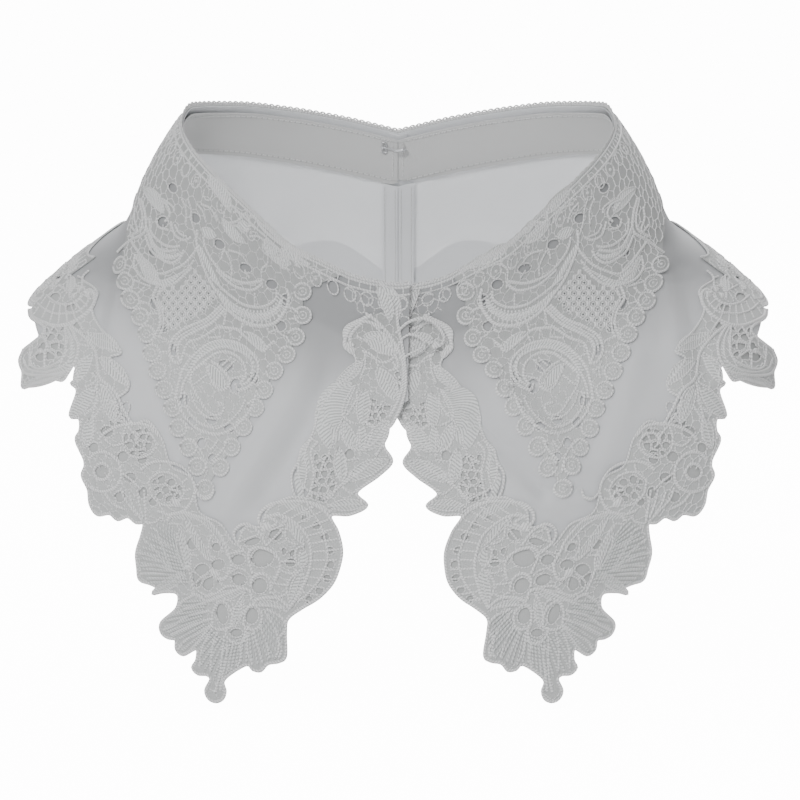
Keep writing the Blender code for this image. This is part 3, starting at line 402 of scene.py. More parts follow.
EDGE_NETS = (
    (((42, 129.5), (34.5, 128), (31, 133), (32, 142), (29.5, 145), (36.5, 155), (45, 152), (41.5, 139.5)),
        4.5), (((14, 100), (10, 105), (1, 105.5), (4.5, 111.5), (9, 114.5), (12.5, 116), (16, 113.5)), 4),
    (((2.5, 89), (-2, 87), (-2, 97.5), (1, 103.5), (3, 95.5)), 3.5),
    (((58.5, 175.5), (53.5, 175.5), (51, 177.5), (52.5, 182.5), (58, 182.5)), 4),
    (((175.5, 67), (166.5, 67), (166, 78.5), (170, 83), (181.5, 85), (182.5, 80), (177, 73)), 5),
    (((147, 102.5), (143, 100.5), (138, 106.5), (135, 114.5), (142, 116.5), (145, 111.5)), 4),
    (((136, 117.5), (124, 117.5), (120.5, 122.5), (124, 130), (133, 130.5), (137, 124.5)), 4.5),
    (((123, 142.5), (118, 139.5), (111, 141), (107, 146.5), (109, 152.5), (115, 154.5), (121, 152.5)), 4.5),
    (((103, 181), (94.5, 182.5), (92, 187), (96, 191), (92, 189.5), (87.5, 193), (94.5, 199.5), (101, 198),
        (103, 189.5)), 7),
)
EDGE_SATIN = (
    (((23, 94.5), (29.5, 98), (34, 103.5), (35.5, 110), (34, 117), (29.5, 123)), 5.6),
    (((45, 123.5), (47, 129), (46, 136), (49.5, 142), (48.5, 149.5), (48, 154)), 2.25),
    (((164.5, 68.5), (163, 73.5), (162.5, 78.5), (164.5, 85), (170.5, 88.5), (180, 89), (186.5, 87)), 1.75),
    (((113, 161.5), (106, 161), (100.5, 161.5), (94, 165), (89, 170.5), (86, 177)), 1.5),
    (((57, 155), (50, 156.5), (43.5, 161)), 2.25),
)
NECK_SCROLL = ((9, 46.5), (3.5, 49.5), (1, 55), (2, 61), (6.5, 64))
NECK_SCROLL_RIMS = (
    ((9, 44.6), (2, 48), (-1.2, 55), (0, 62), (6, 66)),
    ((9, 48.8), (5.2, 51.5), (3.4, 55), (4.2, 59.5), (7.5, 62)),
)
EDGE_BEADS = (
    (92, 189, 2), (90.5, 189.5, 2), (66.5, 166.5, 2), (65, 166, 2), (111, 154, 2.25), (109.5, 154.5, 1.75),
    (23, 78.5, 2), (24.5, 76, 2), (-19, 75.5, 2), (161.5, 51, 1.75), (158.5, 48, 1.75), (154.5, 50, 1.75),
    (178, 78.5, 1.5),
)
PANEL_CORDS = (
    (1.1, 129.5, 31, 130.5, 37, 127.5, 42, 123, 44.5, 116.5, 46, 112, 45, 107.5, 41.5, 102.5, 36.5),
    (1.1, 132, 24, 127.5, 30.5, 123, 37, 118.5, 40, 112, 38, 106.5, 35, 102, 30, 100, 26.5),
    (0.9, 126, 34.5, 123, 40, 118, 43.5, 112, 41.5, 105.5, 38, 101.5, 33),
    (0.9, 128, 32, 125.5, 38, 121, 42), (1.1, 123.5, 12.5, 122.5, 19.5, 117, 25, 112, 26.5, 108.5, 26),
    (1.1, 125, 16.5, 121, 25.5, 116, 28.5, 109.5, 28),
    (1.1, 125.5, 21, 123, 27.5, 120, 31, 113.5, 34.5, 109, 32.5, 106.5, 28),
    (0.9, 122.5, 24, 118.5, 30, 113.5, 32, 109, 30.5), (1.0, 113, 14, 111, 20.5, 106.5, 23, 103, 21.5),
    (0.9, 111, 15.5, 109, 19.5, 105, 21.5), (1.0, 120, 12.5, 119, 16.5, 114, 18),
    (1.2, 127.5, 2.5, 125.5, 11, 126, 19, 133, 23.5, 140, 29.5),
    (1.0, 128.5, 2.5, 127, 11, 128, 18, 134, 21.5), (0.9, 130.5, 6.5, 131, 12.5, 129.5, 18, 132.5, 21.5),
    (0.9, 133, 15.5, 130.5, 19), (1.0, 121, 2.5, 115.5, 5, 113.5, 10, 116, 14),
    (0.9, 117, 2.5, 112, 6.5, 111.5, 9.5), (0.9, 107.5, 2.5, 105.5, 8, 105.5, 15.5),
    (0.9, 104.5, 2.5, 103, 8, 102.5, 14.5, 100.5, 21.5), (0.9, 100, 5, 97, 9, 95.5, 14.5),
    (0.9, 98, 5, 93, 7.5, 90, 14), (0.9, 91, 9, 89, 14.5),
    (1.3, 120, 46.5, 122, 52, 119, 58.5, 118.5, 65, 121, 70.5),
    (1.0, 118, 47, 120, 53, 117.5, 58.5, 117, 65.5, 119, 71.5),
    (1.4, 100, 18, 100, 26.5, 95, 41, 89, 51, 84.5, 58, 77.5, 63.5, 69.5, 66, 61.5, 64.5, 56.5, 58.5, 54.5,
        52, 55.5, 47), (1.2, 97, 21.5, 95.5, 28, 91, 35.5, 85.5, 41, 77, 44.5, 68, 43.5),
    (1.1, 93.5, 41.5, 88, 47, 82, 52, 76.5, 55.5, 68, 56.5, 61.5, 53, 60.5, 48),
    (1.1, 90.5, 38, 84.5, 44, 79.5, 47, 72.5, 48, 68, 45),
    (1.0, 86.5, 52, 80, 58.5, 69.5, 62, 60.5, 58, 57.5, 52), (1.0, 88, 32.5, 86.5, 28, 83, 35.5, 83, 41),
    (0.9, 76.5, 38, 74, 42), (0.9, 84.5, 28, 78.5, 30, 75, 34.5), (0.9, 71.5, 49.5, 71.5, 56),
    (0.9, 74, 66.5, 73, 63.5),
    (1.3, 88, 55.5, 95.5, 62.5, 104.5, 66.5, 111.5, 71.5, 114, 78, 112, 83.5, 108.5, 85),
    (1.3, 86, 57.5, 93, 64.5, 102.5, 69.5, 108.5, 73.5, 110, 79, 108.5, 85),
    (1.1, 90.5, 67, 98, 72, 104.5, 74.5, 107, 79.5, 108.5, 85),
    (0.9, 87, 56.5, 94.5, 63.5, 103, 68, 110, 72.5, 112, 78.5),
    (1.2, 90.5, 66.5, 85.5, 67, 80, 68, 74, 73.5, 67.5, 78.5, 64.5, 76, 61.5, 73.5),
    (0.9, 77, 69, 72.5, 70, 67.5, 74.5, 65, 76.5), (0.9, 85.5, 58, 87, 65.5), (0.9, 77.5, 64.5, 78.5, 69),
    (0.8, 95, 72, 89, 71.5), (0.8, 89, 67.5, 88.5, 72.5), (0.8, 84, 68, 83.5, 72.5),
    (0.8, 102.5, 74.5, 100.5, 78), (0.8, 107, 79.5, 103, 81.5), (0.8, 77.5, 70, 79.5, 74),
    (1.3, 111, 102.5, 109.5, 95, 106.5, 86.5, 100.5, 79.5, 93, 74.5, 84.5, 73.5, 76.5, 76.5, 70.5, 83, 70,
        90, 74, 96, 79.5, 98, 81, 95),
    (1.1, 108.5, 102, 107, 95, 103, 87.5, 97.5, 81, 90, 77, 83, 77, 75, 81, 72.5, 86.5, 74, 93, 78.5, 96),
    (1.2, 102, 88, 95.5, 83, 90, 79.5, 83.5, 79.5, 77.5, 84, 76, 90.5, 79, 95.5),
    (1.1, 99.5, 102.5, 103, 95, 103, 90, 99.5, 86.5, 96, 85, 93.5, 92, 91.5, 96, 88, 98, 84.5, 96, 84.5, 92,
        89, 86.5, 93.5, 83.5), (0.8, 88, 86, 83, 81.5), (0.8, 86.5, 88.5, 81, 83),
    (0.8, 84.5, 92.5, 76.5, 91), (0.8, 102, 95.5, 95.5, 90.5),
    (1.2, 110.5, 101.5, 108.5, 107.5, 105, 113, 99, 118, 91.5, 120, 87, 119.5),
    (1.1, 106.5, 99, 106, 105.5, 102, 112, 97, 115.5, 91.5, 117),
    (0.9, 103.5, 98, 102, 104, 99, 108.5, 94, 112, 88, 112),
    (1.1, 99, 102.5, 96, 107.5, 92, 110.5, 88, 109.5, 87, 105.5, 91, 104),
    (1.1, 90, 120.5, 83, 117.5, 77, 112.5, 73, 106.5, 71, 100.5),
    (0.9, 91, 117.5, 85, 114.5, 79, 108.5, 76, 102.5), (1.0, 104, 122.5, 99, 127.5, 96, 133.5, 95, 139.5),
    (1.0, 85, 122.5, 88, 128.5, 93, 133.5), (0.9, 96.5, 122.5, 93.5, 127.5, 90, 123.5),
    (0.8, 61.5, 65.5, 58.5, 70, 54.5, 72), (0.8, 65, 67, 64.5, 69, 61, 68), (0.8, 54.5, 62.5, 49.5, 62),
    (0.8, 55.5, 56.5, 51, 58), (0.8, 134.5, 37, 130.5, 38), (0.8, 132, 43.5, 123, 46.5),
    (0.8, 130.5, 51, 126, 46.5), (0.8, 129.5, 53.5, 123, 55.5), (0.8, 125.5, 60, 119, 60),
    (0.8, 123, 70, 120.5, 71.5), (1.0, 122.5, 70.5, 116.5, 72.5, 114, 74.5),
    (0.8, 114, 83.5, 113, 87.5, 114, 92), (0.8, 112, 88, 109, 87.5), (0.8, 119, 79, 114.5, 79),
    (1.3, 74, 11, 71.5, 12, 67, 18, 60, 24, 53.5, 28.5, 49.5, 32, 44, 35.5),
    (1.1, 72, 11, 67.5, 15.5, 61.5, 18.5, 56, 23, 49.5, 28, 44, 32), (0.9, 64.5, 20.5, 61.5, 18),
    (0.9, 58.5, 24, 56, 22.5), (0.9, 50.5, 31, 48.5, 28.5),
    (1.0, 86.5, 9, 86, 14, 80, 13.5, 76.5, 10, 74, 14, 75, 18.5, 79, 16, 79.5, 12),
    (0.9, 74, 21, 70, 21, 67, 23), (0.9, 50.5, 32, 51, 35, 48.5, 36.5),
    (0.9, 65, 28, 65, 34.5, 68, 38, 67.5, 47), (0.9, 65, 29.5, 61, 30.5, 58.5, 35.5, 53.5, 38),
    (0.9, 54.5, 56.5, 51.5, 57.5, 49.5, 60),
)
PANEL_LEAVES = (
    ((95, -9), (83, 9.5), 3.0, 1.5, 1), ((68, 22.5), (53, 35), 3.2, -1.5, 2),
    ((127, -3), (116.5, 9.5), 3.0, 1.2, 1), ((88, 12), (76, 24), 2.6, -1.2, 1),
    ((60, 29), (47, 33), 2.4, 1.0, 1), ((96, 85), (85.5, 97.5), 3, 0, 0),
    ((76.5, 69.5), (65, 78), 2, 0.5, 0), ((118.5, 47), (130, 31), 2.5, -1, 1),
    ((98.5, 18), (90.5, 21), 2.25, 0, 0), ((80, 17), (74.5, 15.5), 2.25, 0, 0),
)
PANEL_RIBS = (
    (((80, 56), (74, 58), (67.5, 58), (61.5, 55), (60, 49.5)), ((83, 60), (76, 64.5), (67.5, 65.5),
        (59, 61), (55.5, 53)), 16),
)
PANEL_SATIN = (
    (((128.5, 34.5), (125.5, 41), (120.5, 44), (114.5, 44), (108.5, 40)), 1.25),
    (((90, 48.5), (83.5, 55.5), (76.5, 60), (68.5, 61.5), (61, 58), (58, 53)), 2),
    (((99.5, 25.5), (93.5, 38), (89, 46)), 1.5),
    (((125, 18.5), (121.5, 26), (117, 30.5), (112, 31.5), (108.5, 29.5)), 1.5),
    (((105.5, 88.5), (99.5, 81), (91.5, 76), (83.5, 75), (76, 79), (72, 85.5), (72.5, 92)), 1.25),
)
PANEL_KNOTS = (
    (118, 47), (111, 46.5), (104.5, 41), (99.5, 36.5), (95.5, 43.5), (90, 51), (93.5, 56.5), (103, 62.5),
    (111, 67), (116, 68), (118, 60), (119, 53),
)

# Motifs of one scallop of the back edging: millimetres from its middle, and run
BACK_CORDS = (
    (1.0, -13, 103, -7, 106.3, 0, 107.8, 7, 106.3, 13, 103),
    (0.9, -13, 97, -9, 92, -5, 94, 0, 96, 5, 94, 9, 92, 13, 97), (0.9, -13, 88, -9, 85, -5, 87, -3.6, 90),
    (0.9, 13, 88, 9, 85, 5, 87, 3.6, 90), (0.8, -13, 104, -10.5, 101.5), (0.8, 13, 104, 10.5, 101.5),
)
BACK_LEAVES = (
    ((0, 95.5), (0, 106), 2.0, 0, 1), ((-4.5, 94.5), (-12.5, 97.5), 1.9, 0.6, 1),
    ((4.5, 94.5), (12.5, 97.5), 1.9, -0.6, 1), ((-4.5, 88), (-11, 81.5), 2.4, 0.6, 1),
    ((4.5, 88), (11, 81.5), 2.4, -0.6, 1), ((0, 87), (0, 79.5), 2.2, 0, 1),
)
BACK_RIBS = (
    (((-11, 104.5), (-7, 106.3), (0, 107.8), (7, 106.3), (11, 104.5)), ((-12, 108.6), (-7, 110.8), (0,
        111.8), (7, 110.8), (12, 108.6)), 9),
)
BACK_BEADS = ((-9, 92, 1.0), (9, 92, 1.0), (-13, 88, 0.9))


# The cloth's form

def smooth_through(x, xs, ys):
    """Values at x of a smooth curve through the points, which never swings past them."""
    xs = np.asarray(xs, float)
    ys = np.asarray(ys, float)
    step = np.diff(xs)
    slope = np.diff(ys) / step
    before, after = slope[:-1], slope[1:]
    total = before + after
    level = before * after <= 0
    middle = np.where(level, 0.0, 2 * before * after / np.where(level | (total == 0), 1.0, total))
    tangent = np.concatenate(([slope[0]], middle, [slope[-1]]))
    x = np.clip(x, xs[0], xs[-1])
    i = np.clip(np.searchsorted(xs, x, side="right") - 1, 0, len(xs) - 2)
    t = (x - xs[i]) / step[i]
    rise = t * t * (3 - 2 * t)
    start = t * (1 - t) ** 2 * step[i] * tangent[i]
    end = t * t * (t - 1) * step[i] * tangent[i + 1]
    return ys[i] * (1 - rise) + ys[i + 1] * rise + start + end


def soft_step(x, low, high):
    t = np.clip((x - low) / (high - low), 0, 1)
    return t * t * (3 - 2 * t)


def hang(table, run):
    """How far out and down the cloth lies after a run from the neckline."""
    table = np.asarray(table, float)
    length = np.concatenate(([0], np.cumsum(np.hypot(*np.diff(table, axis=0).T))))
    return smooth_through(run, length, table[:, 0]), smooth_through(run, length, table[:, 1])


def fold_height(angle, run):
    """Height of the broad folds, which grow from nothing at the neckband to full height below it."""
    degrees = np.degrees(angle)
    along = np.clip(run / 150, 0, 1.6)
    height = 0
    for at_neck, at_hem, tall, half in FOLDS:
        centre = at_neck + (at_hem - at_neck) * along
        height = height + tall * np.exp(-(((degrees - centre) / half) ** 2))
    return height * soft_step(run, 28, 75)


def leaf_surface(angle, run):
    """Points of the outer face of the right leaf, mirrored to +X, in millimetres."""
    size = np.hypot(angle, NECK_POINT_ROUND)
    degrees, height = np.asarray(NECKLINE, float).T
    top = smooth_through(np.degrees(size), degrees, height)
    side = np.sin(angle) ** 2
    end_out, end_down = hang(FRONT_HANG, run)
    back_out, back_down = hang(BACK_HANG, run)
    behind = np.cos(angle) < 0
    end_out = np.where(behind, back_out, end_out)
    end_down = np.where(behind, back_down, end_down)
    side_out, side_down = hang(SIDE_HANG, run)
    out = side * side_out + (1 - side) * end_out + fold_height(size, run)
    down = side * side_down + (1 - side) * end_down
    depth = np.where(behind, NECK_BACK_DEPTH, NECK_FRONT_DEPTH)
    x = (NECK_HALF_WIDTH + out) * np.sin(angle)
    y = -(depth + out) * np.cos(angle)
    return np.stack((x, y, top - down), axis=-1)


def as_seen(angle, run):
    """Where points of the leaf's face appear from the front: out and down from the neck's middle."""
    x, y, z = np.moveaxis(leaf_surface(angle, run), -1, 0)
    up = (z - SEEN_TARGET_HEIGHT) * math.cos(SEEN_TILT) + y * math.sin(SEEN_TILT)
    away = y * math.cos(SEEN_TILT) - (z - SEEN_TARGET_HEIGHT) * math.sin(SEEN_TILT)
    near = SEEN_FROM / (SEEN_FROM + away)
    return x * near, -(up * near + SEEN_TARGET_HEIGHT * math.cos(SEEN_TILT))


def crease_height(side, angle, run):
    """Height of the narrower creases of one front, placed by where they are seen."""
    out, down = as_seen(angle, run)
    height = np.zeros(np.shape(out))
    for on_side, tall, half, line in CREASES:
        if on_side != side:
            continue
        line = np.asarray(line, float)
        nearest = np.full(np.shape(out), np.inf)
        for (x0, y0), (x1, y1) in zip(line[:-1], line[1:]):
            length = (x1 - x0) ** 2 + (y1 - y0) ** 2
            t = np.clip(((out - x0) * (x1 - x0) + (down - y0) * (y1 - y0)) / length, 0, 1)
            nearest = np.minimum(nearest, np.hypot(out - x0 - t * (x1 - x0), down - y0 - t * (y1 - y0)))
        height += tall * np.exp(-((nearest / half) ** 2))
    in_front = 1 - soft_step(np.degrees(np.abs(angle)), 74, 88)
    return height * soft_step(run, 30, 60) * in_front


def lap(side, angle):
    """How far the leaf lies under the other one at the centre front: only the wearer's left one does."""
    if side < 0:
        return 0.0 * angle
    return -LAP_DEPTH * (1 - soft_step(np.degrees(angle), *LAP_FADE))


def on_leaf(side, angle, run, lift=0.0):
    """Points in metres at a height over the outer face of one side's leaf."""
    angle = np.asarray(angle, float)
    run = np.asarray(run, float)
    here = leaf_surface(angle, run)
    turn = np.radians(0.4)
    slip = 0.6
    across = leaf_surface(angle + turn, run) - leaf_surface(angle - turn, run)
    along = leaf_surface(angle, run + slip) - leaf_surface(angle, np.maximum(run - slip, 0))
    normal = np.cross(across, along)
    normal /= np.linalg.norm(normal, axis=-1, keepdims=True)
    outward = np.where(np.sum(normal * here * (1, 1, 0), axis=-1, keepdims=True) < 0, -1, 1)
    height = lift + lap(side, np.abs(angle)) + crease_height(side, angle, run)
    points = here + normal * outward * np.asarray(height)[..., None]
    return points * (side * MM, MM, MM)


GRID_ANGLE, GRID_RUN = np.meshgrid(np.radians(np.arange(-12, 90, 0.5)), np.arange(0, 320, 1.0), indexing="ij")
GRID_TREE = kdtree.KDTree(GRID_ANGLE.size)
for index, place in enumerate(zip(*(values.flat for values in as_seen(GRID_ANGLE, GRID_RUN)))):
    GRID_TREE.insert((*place, 0), index)
GRID_TREE.balance()


def from_seen(points):
    """Angle and run of the places on the leaf that appear at these points from the front."""
    points = np.asarray(points, float)
    nearest = [GRID_TREE.find((out, down, 0))[1] for out, down in points]
    angle = GRID_ANGLE.flat[nearest]
    run = GRID_RUN.flat[nearest]
    for _ in range(4):
        out, down = as_seen(angle, run)
        turned = np.stack(as_seen(angle + 0.002, run)) - (out, down)
        moved = np.stack(as_seen(angle, run + 0.2)) - (out, down)
        a, c = turned / 0.002
        b, d = moved / 0.2
        miss_out, miss_down = points[:, 0] - out, points[:, 1] - down
        area = a * d - b * c
        safe = np.where(np.abs(area) < 30, np.inf, area)
        angle = angle + np.clip((d * miss_out - b * miss_down) / safe, -0.01, 0.01)
        run = run + np.clip((a * miss_down - c * miss_out) / safe, -1, 1)
    return np.stack((np.minimum(angle, math.radians(89)), np.maximum(run, 0)), axis=-1)


def flat(places):
    """Angle and run as flat pattern coordinates in millimetres."""
    places = np.asarray(places, float)
    return np.stack((places[:, 0] * PATTERN_RADIUS, places[:, 1]), axis=-1)


def seen_point(side, points):
    """Pattern places of points of the hem or its lace as seen on one side."""
    points = np.array(points, float)
    if side > 0:
        points[:, 0] -= POINT_SHIFT * soft_step(points[:, 1], *POINT_SHIFT_SPAN)
    return flat(from_seen(points))


def seen_panel(side, points):
    """Pattern places of points of the front panel as seen on one side."""
    points = np.array(points, float)
    if side > 0:
        high = 1 - soft_step(points[:, 1], 40, 110)
        outer = soft_step(points[:, 0], 60, 130)
        points[:, 0] -= PANEL_SHIFT - (PANEL_SHIFT - PANEL_SHIFT_AT_SHOULDER) * high * outer
    return flat(from_seen(points))


def as_pattern(side, points):
    """Pattern places that are given as such already."""
    return np.asarray(points, float)


def back_hem(degrees, smooth=False):
    """Run to the scalloped back hem at an angle, from the shoulder to the centre back."""
    part = (degrees - SHOULDER_ANGLE) / (180 - SHOULDER_ANGLE)
    line = BACK_LENGTH + SHOULDER_EXTRA * (1 - part)
    scallop = 0 if smooth else abs(math.sin(math.pi * BACK_SCALLOP_COUNT * part)) - 1
    return line + BACK_SCALLOP * scallop


# Outlines in the flat

def oval(across, down, half_width, half_height, turn=0.0, count=16):
    """Corners of an oval."""
    turn = math.radians(turn)
    angles = np.arange(count) * 2 * math.pi / count
    x = half_width * np.cos(angles)
    y = half_height * np.sin(angles)
    cos, sin = math.cos(turn), math.sin(turn)
    return np.stack((across + x * cos - y * sin, down + x * sin + y * cos), axis=-1)


def closely(points, spacing, closed=True):
    """The outline with points added so that no side is longer than the spacing."""
    points = np.asarray(points, float)
    ends = np.roll(points, -1, axis=0) if closed else points[1:]
    result = []
    for start, end in zip(points, ends):
        count = max(1, math.ceil(np.linalg.norm(end - start) / spacing))
        for i in range(count):
            result.append(start + (end - start) * i / count)
    if not closed:
        result.append(points[-1])
    return np.array(result)


def curved(points, spacing=1.0, closed=False, steps=None):
    """A smooth line through the points, as places about the spacing apart or with steps to a stretch."""
    points = np.asarray(points, float)
    if len(points) < 3 and not closed:
        return closely(points, spacing, closed=False)
    if closed:
        ring = np.concatenate((points[-1:], points, points[:2]))
    else:
        ring = np.concatenate(([2 * points[0] - points[1]], points, [2 * points[-1] - points[-2]]))
    result = []
    for a, b, c, d in zip(ring[:-3], ring[1:-2], ring[2:-1], ring[3:]):
        count = steps or max(1, math.ceil(np.linalg.norm(c - b) / spacing))
        t = (np.arange(count) / count)[:, None]
        result.append(
            0.5 * (2 * b + (c - a) * t + (2 * a - 5 * b + 4 * c - d) * t**2 + (3 * b - 3 * c + d - a) * t**3)
        )
    if not closed:
        result.append(points[-1:])
    return np.concatenate(result)


def distances(path):
    """Distance along the path of each of its points."""
    return np.concatenate(([0], np.cumsum(np.linalg.norm(np.diff(path, axis=0), axis=1))))


def inside(outline, points):
    """Which of the points lie inside the closed outline."""
    x, y = points[:, 0], points[:, 1]
    result = np.zeros(len(points), bool)
    for (x0, y0), (x1, y1) in zip(outline, np.roll(outline, -1, axis=0)):
        if y0 == y1:
            continue
        crosses = (y0 > y) != (y1 > y)
        result ^= crosses & (x < x0 + (y - y0) * (x1 - x0) / (y1 - y0))
    return result


def filled(solids, gaps, spacing):
    """Triangles in the flat pattern that fill the solids and leave the gaps open."""
    edges_of = [closely(outline, spacing) for outline in solids] + [np.asarray(gap, float) for gap in gaps]
    corners = np.concatenate(edges_of)
    low, high = np.floor(corners.min(0) / spacing), np.ceil(corners.max(0) / spacing)
    columns, rows = np.meshgrid(np.arange(low[0], high[0] + 1), np.arange(low[1], high[1] / 0.87 + 1))
    inner = np.stack(((columns + (rows % 2) / 2) * spacing, rows * spacing * 0.87), axis=-1).reshape(-1, 2)
    keep = np.zeros(len(inner), bool)
    for outline in edges_of[: len(solids)]:
        keep |= inside(outline, inner)
    tree = kdtree.KDTree(len(corners))
    for i, corner in enumerate(corners):
        tree.insert((*corner, 0), i)
    tree.balance()
    inner = inner[keep]
    clear = np.array([tree.find((*place, 0))[2] > spacing * 0.5 for place in inner], bool)
    inner = inner[clear]
    edges = []
    start = 0
    for outline in edges_of:
        count = len(outline)
        edges += [(start + i, start + (i + 1) % count) for i in range(count)]
        start += count
    points = [Vector(p) for p in np.concatenate((corners, inner))]
    places, _, triangles, _, _, _ = delaunay_2d_cdt(points, edges, [], 0, 1e-5, False)
    places = np.array(places)
    triangles = np.array(triangles)
    centres = places[triangles].mean(1)
    keep = np.zeros(len(triangles), bool)
    for outline in edges_of[: len(solids)]:
        keep |= inside(outline, centres)
    for outline in edges_of[len(solids) :]:
        keep &= ~inside(outline, centres)
    triangles = triangles[keep]
    used, triangles = np.unique(triangles, return_inverse=True)
    return places[used], triangles.reshape(-1, 3)


# Meshes

def sewn_object(name, vertices, faces, pattern, looks, sharp=40, finish=None):
    """A mesh object with its pattern coordinates kept as a UV layer, riding on the collar's body."""
    mesh = bpy.data.meshes.new(name)
    mesh.from_pydata(vertices.tolist(), [], faces)
    if finish is not None:
        mesh.polygons.foreach_set("material_index", finish)
    layer = mesh.uv_layers.new(name="pattern")
    corner_vertex = np.zeros(len(mesh.loops), int)
    mesh.loops.foreach_get("vertex_index", corner_vertex)
    layer.data.foreach_set("uv", np.asarray(pattern, float)[corner_vertex].ravel())
    form = bmesh.new()
    form.from_mesh(mesh)
    bmesh.ops.recalc_face_normals(form, faces=form.faces)
    for face in form.faces:
        face.smooth = True
    form.to_mesh(mesh)
    form.free()
    mesh.set_sharp_from_angle(angle=math.radians(sharp))
    for look in looks if isinstance(looks, tuple) else (looks,):
        mesh.materials.append(look)
    made = bpy.data.objects.new(name, mesh)
    bpy.context.scene.collection.objects.link(made)
    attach(made, BODY)
    return made


def slab_faces(columns, rows):
    """Faces of a closed slab between two grids, each of columns by rows points."""

    def at(layer, i, j):
        return (layer * columns + i) * rows + j

    faces = []
    for i in range(columns - 1):
        for j in range(rows - 1):
            for side in (0, 1):
                faces.append((at(side, i, j), at(side, i + 1, j), at(side, i + 1, j + 1), at(side, i, j + 1)))
        for j in (0, rows - 1):
            faces.append((at(0, i, j), at(1, i, j), at(1, i + 1, j), at(0, i + 1, j)))
    for i in (0, columns - 1):
        for j in range(rows - 1):
            faces.append((at(0, i, j), at(0, i, j + 1), at(1, i, j + 1), at(1, i, j)))
    return faces


def rope_faces(start, count, rows, closed=False):
    """Faces round a section of rows points that runs along count places; its points lie row after row."""

    def at(row, i):
        return start + row % rows * count + i % count

    faces = [
        (at(row, i), at(row, i + 1), at(row + 1, i + 1), at(row + 1, i))
        for i in range(count if closed else count - 1)
        for row in range(rows)
    ]
    if not closed:
        faces.append(tuple(at(row, 0) for row in range(rows)))
        faces.append(tuple(at(row, count - 1) for row in reversed(range(rows))))
    return faces


def shell(name, side, places, triangles, low, high, look):
    """A thin curved sheet between two heights over the leaf."""
    angle = places[:, 0] / PATTERN_RADIUS
    run = places[:, 1]
    outer = on_leaf(side, angle, run, high)
    inner = on_leaf(side, angle, run, low)
    count = len(places)
    seen = set()
    for a, b, c in triangles:
        seen.update(((a, b), (b, c), (c, a)))
    faces = [tuple(t) for t in triangles]
    faces += [(c + count, b + count, a + count) for a, b, c in triangles]
    faces += [(b, a, a + count, b + count) for a, b in seen if (b, a) not in seen]
    faces = sorted(tuple(int(i) for i in face) for face in faces)
    return sewn_object(name, np.concatenate((outer, inner)), faces, np.concatenate((places, places)), look)


def real_scale(places):
    """Real millimetres across and down the cloth for each millimetre of the pattern."""
    angle = places[:, 0] / PATTERN_RADIUS
    run = np.maximum(places[:, 1], 0)
    turn = 0.004
    across = leaf_surface(angle + turn, run) - leaf_surface(angle - turn, run)
    down = leaf_surface(angle, run + 1) - leaf_surface(angle, run)
    wide = np.linalg.norm(across, axis=-1) / (2 * turn * PATTERN_RADIUS)
    return np.stack((np.clip(wide, 0.35, 3), np.clip(np.linalg.norm(down, axis=-1), 0.5, 2)), axis=-1)


def across_of(line, closed=False):
    """Pattern steps of one real millimetre to the side of the line, and real distances along it."""
    line = np.asarray(line, float)
    scale = real_scale(line)
    if closed:
        forward = np.roll(line, -1, axis=0) - np.roll(line, 1, axis=0)
    else:
        forward = np.gradient(line, axis=0)
    forward = forward * scale
    size = np.linalg.norm(forward, axis=1, keepdims=True)
    forward = forward / np.where(size == 0, 1, size)
    steps = np.linalg.norm(np.diff(line, axis=0) * scale[1:], axis=1)
    return np.stack((-forward[:, 1], forward[:, 0]), axis=-1) / scale, np.concatenate(([0], np.cumsum(steps)))


def spread(line, count):
    """Places evenly spread along the line."""
    line = curved(line)
    along = distances(line)
    at = np.linspace(0, along[-1], count)
    return np.stack((np.interp(at, along, line[:, 0]), np.interp(at, along, line[:, 1])), axis=-1)


def net_cells(outline, size, draw):
    """Irregular cells of a net that fill the outline, with threads of lace left between them."""
    outline = np.asarray(outline, float)
    low, high = outline.min(0), outline.max(0)
    seeds = []
    for row in range(int((high[1] - low[1]) / (size * 0.87)) + 2):
        for column in range(int((high[0] - low[0]) / size) + 2):
            shift = draw.uniform(-0.22, 0.22, 2) * size
            seeds.append(low + ((column + (row % 2) / 2) * size, row * size * 0.87) + shift)
    seeds = np.array(seeds)
    seeds = seeds[inside(outline, seeds)]
    cells = []
    for i, seed in enumerate(seeds):
        polygon = oval(0, 0, size * 0.66, size * 0.66, count=12)
        for other in np.delete(seeds, i, axis=0) - seed:
            reach = np.dot(other, other) / 2
            side = polygon @ other - reach
            clipped = []
            for a, b, start, end in zip(polygon, np.roll(polygon, -1, axis=0), side, np.roll(side, -1)):
                if start <= 0:
                    clipped.append(a)
                if start * end < 0:
                    clipped.append(a + (b - a) * start / (start - end))
            polygon = np.array(clipped)
            if len(polygon) < 3:
                break
        if len(polygon) < 3:
            continue
        radius = np.linalg.norm(polygon, axis=1)
        share = np.maximum(1 - 0.5 / np.maximum(radius, 0.6), 0.15)
        for _ in range(6):
            outside = ~inside(outline, seed + polygon * (share + 0.12)[:, None])
            share = np.where(outside, share * 0.84, share)
        polygon = polygon * share[:, None]
        if np.ptp(polygon[:, 0]) > 1.6 and np.ptp(polygon[:, 1]) > 1.6:
            cells.append(curved(seed + polygon, 1.2, closed=True))
    return cells


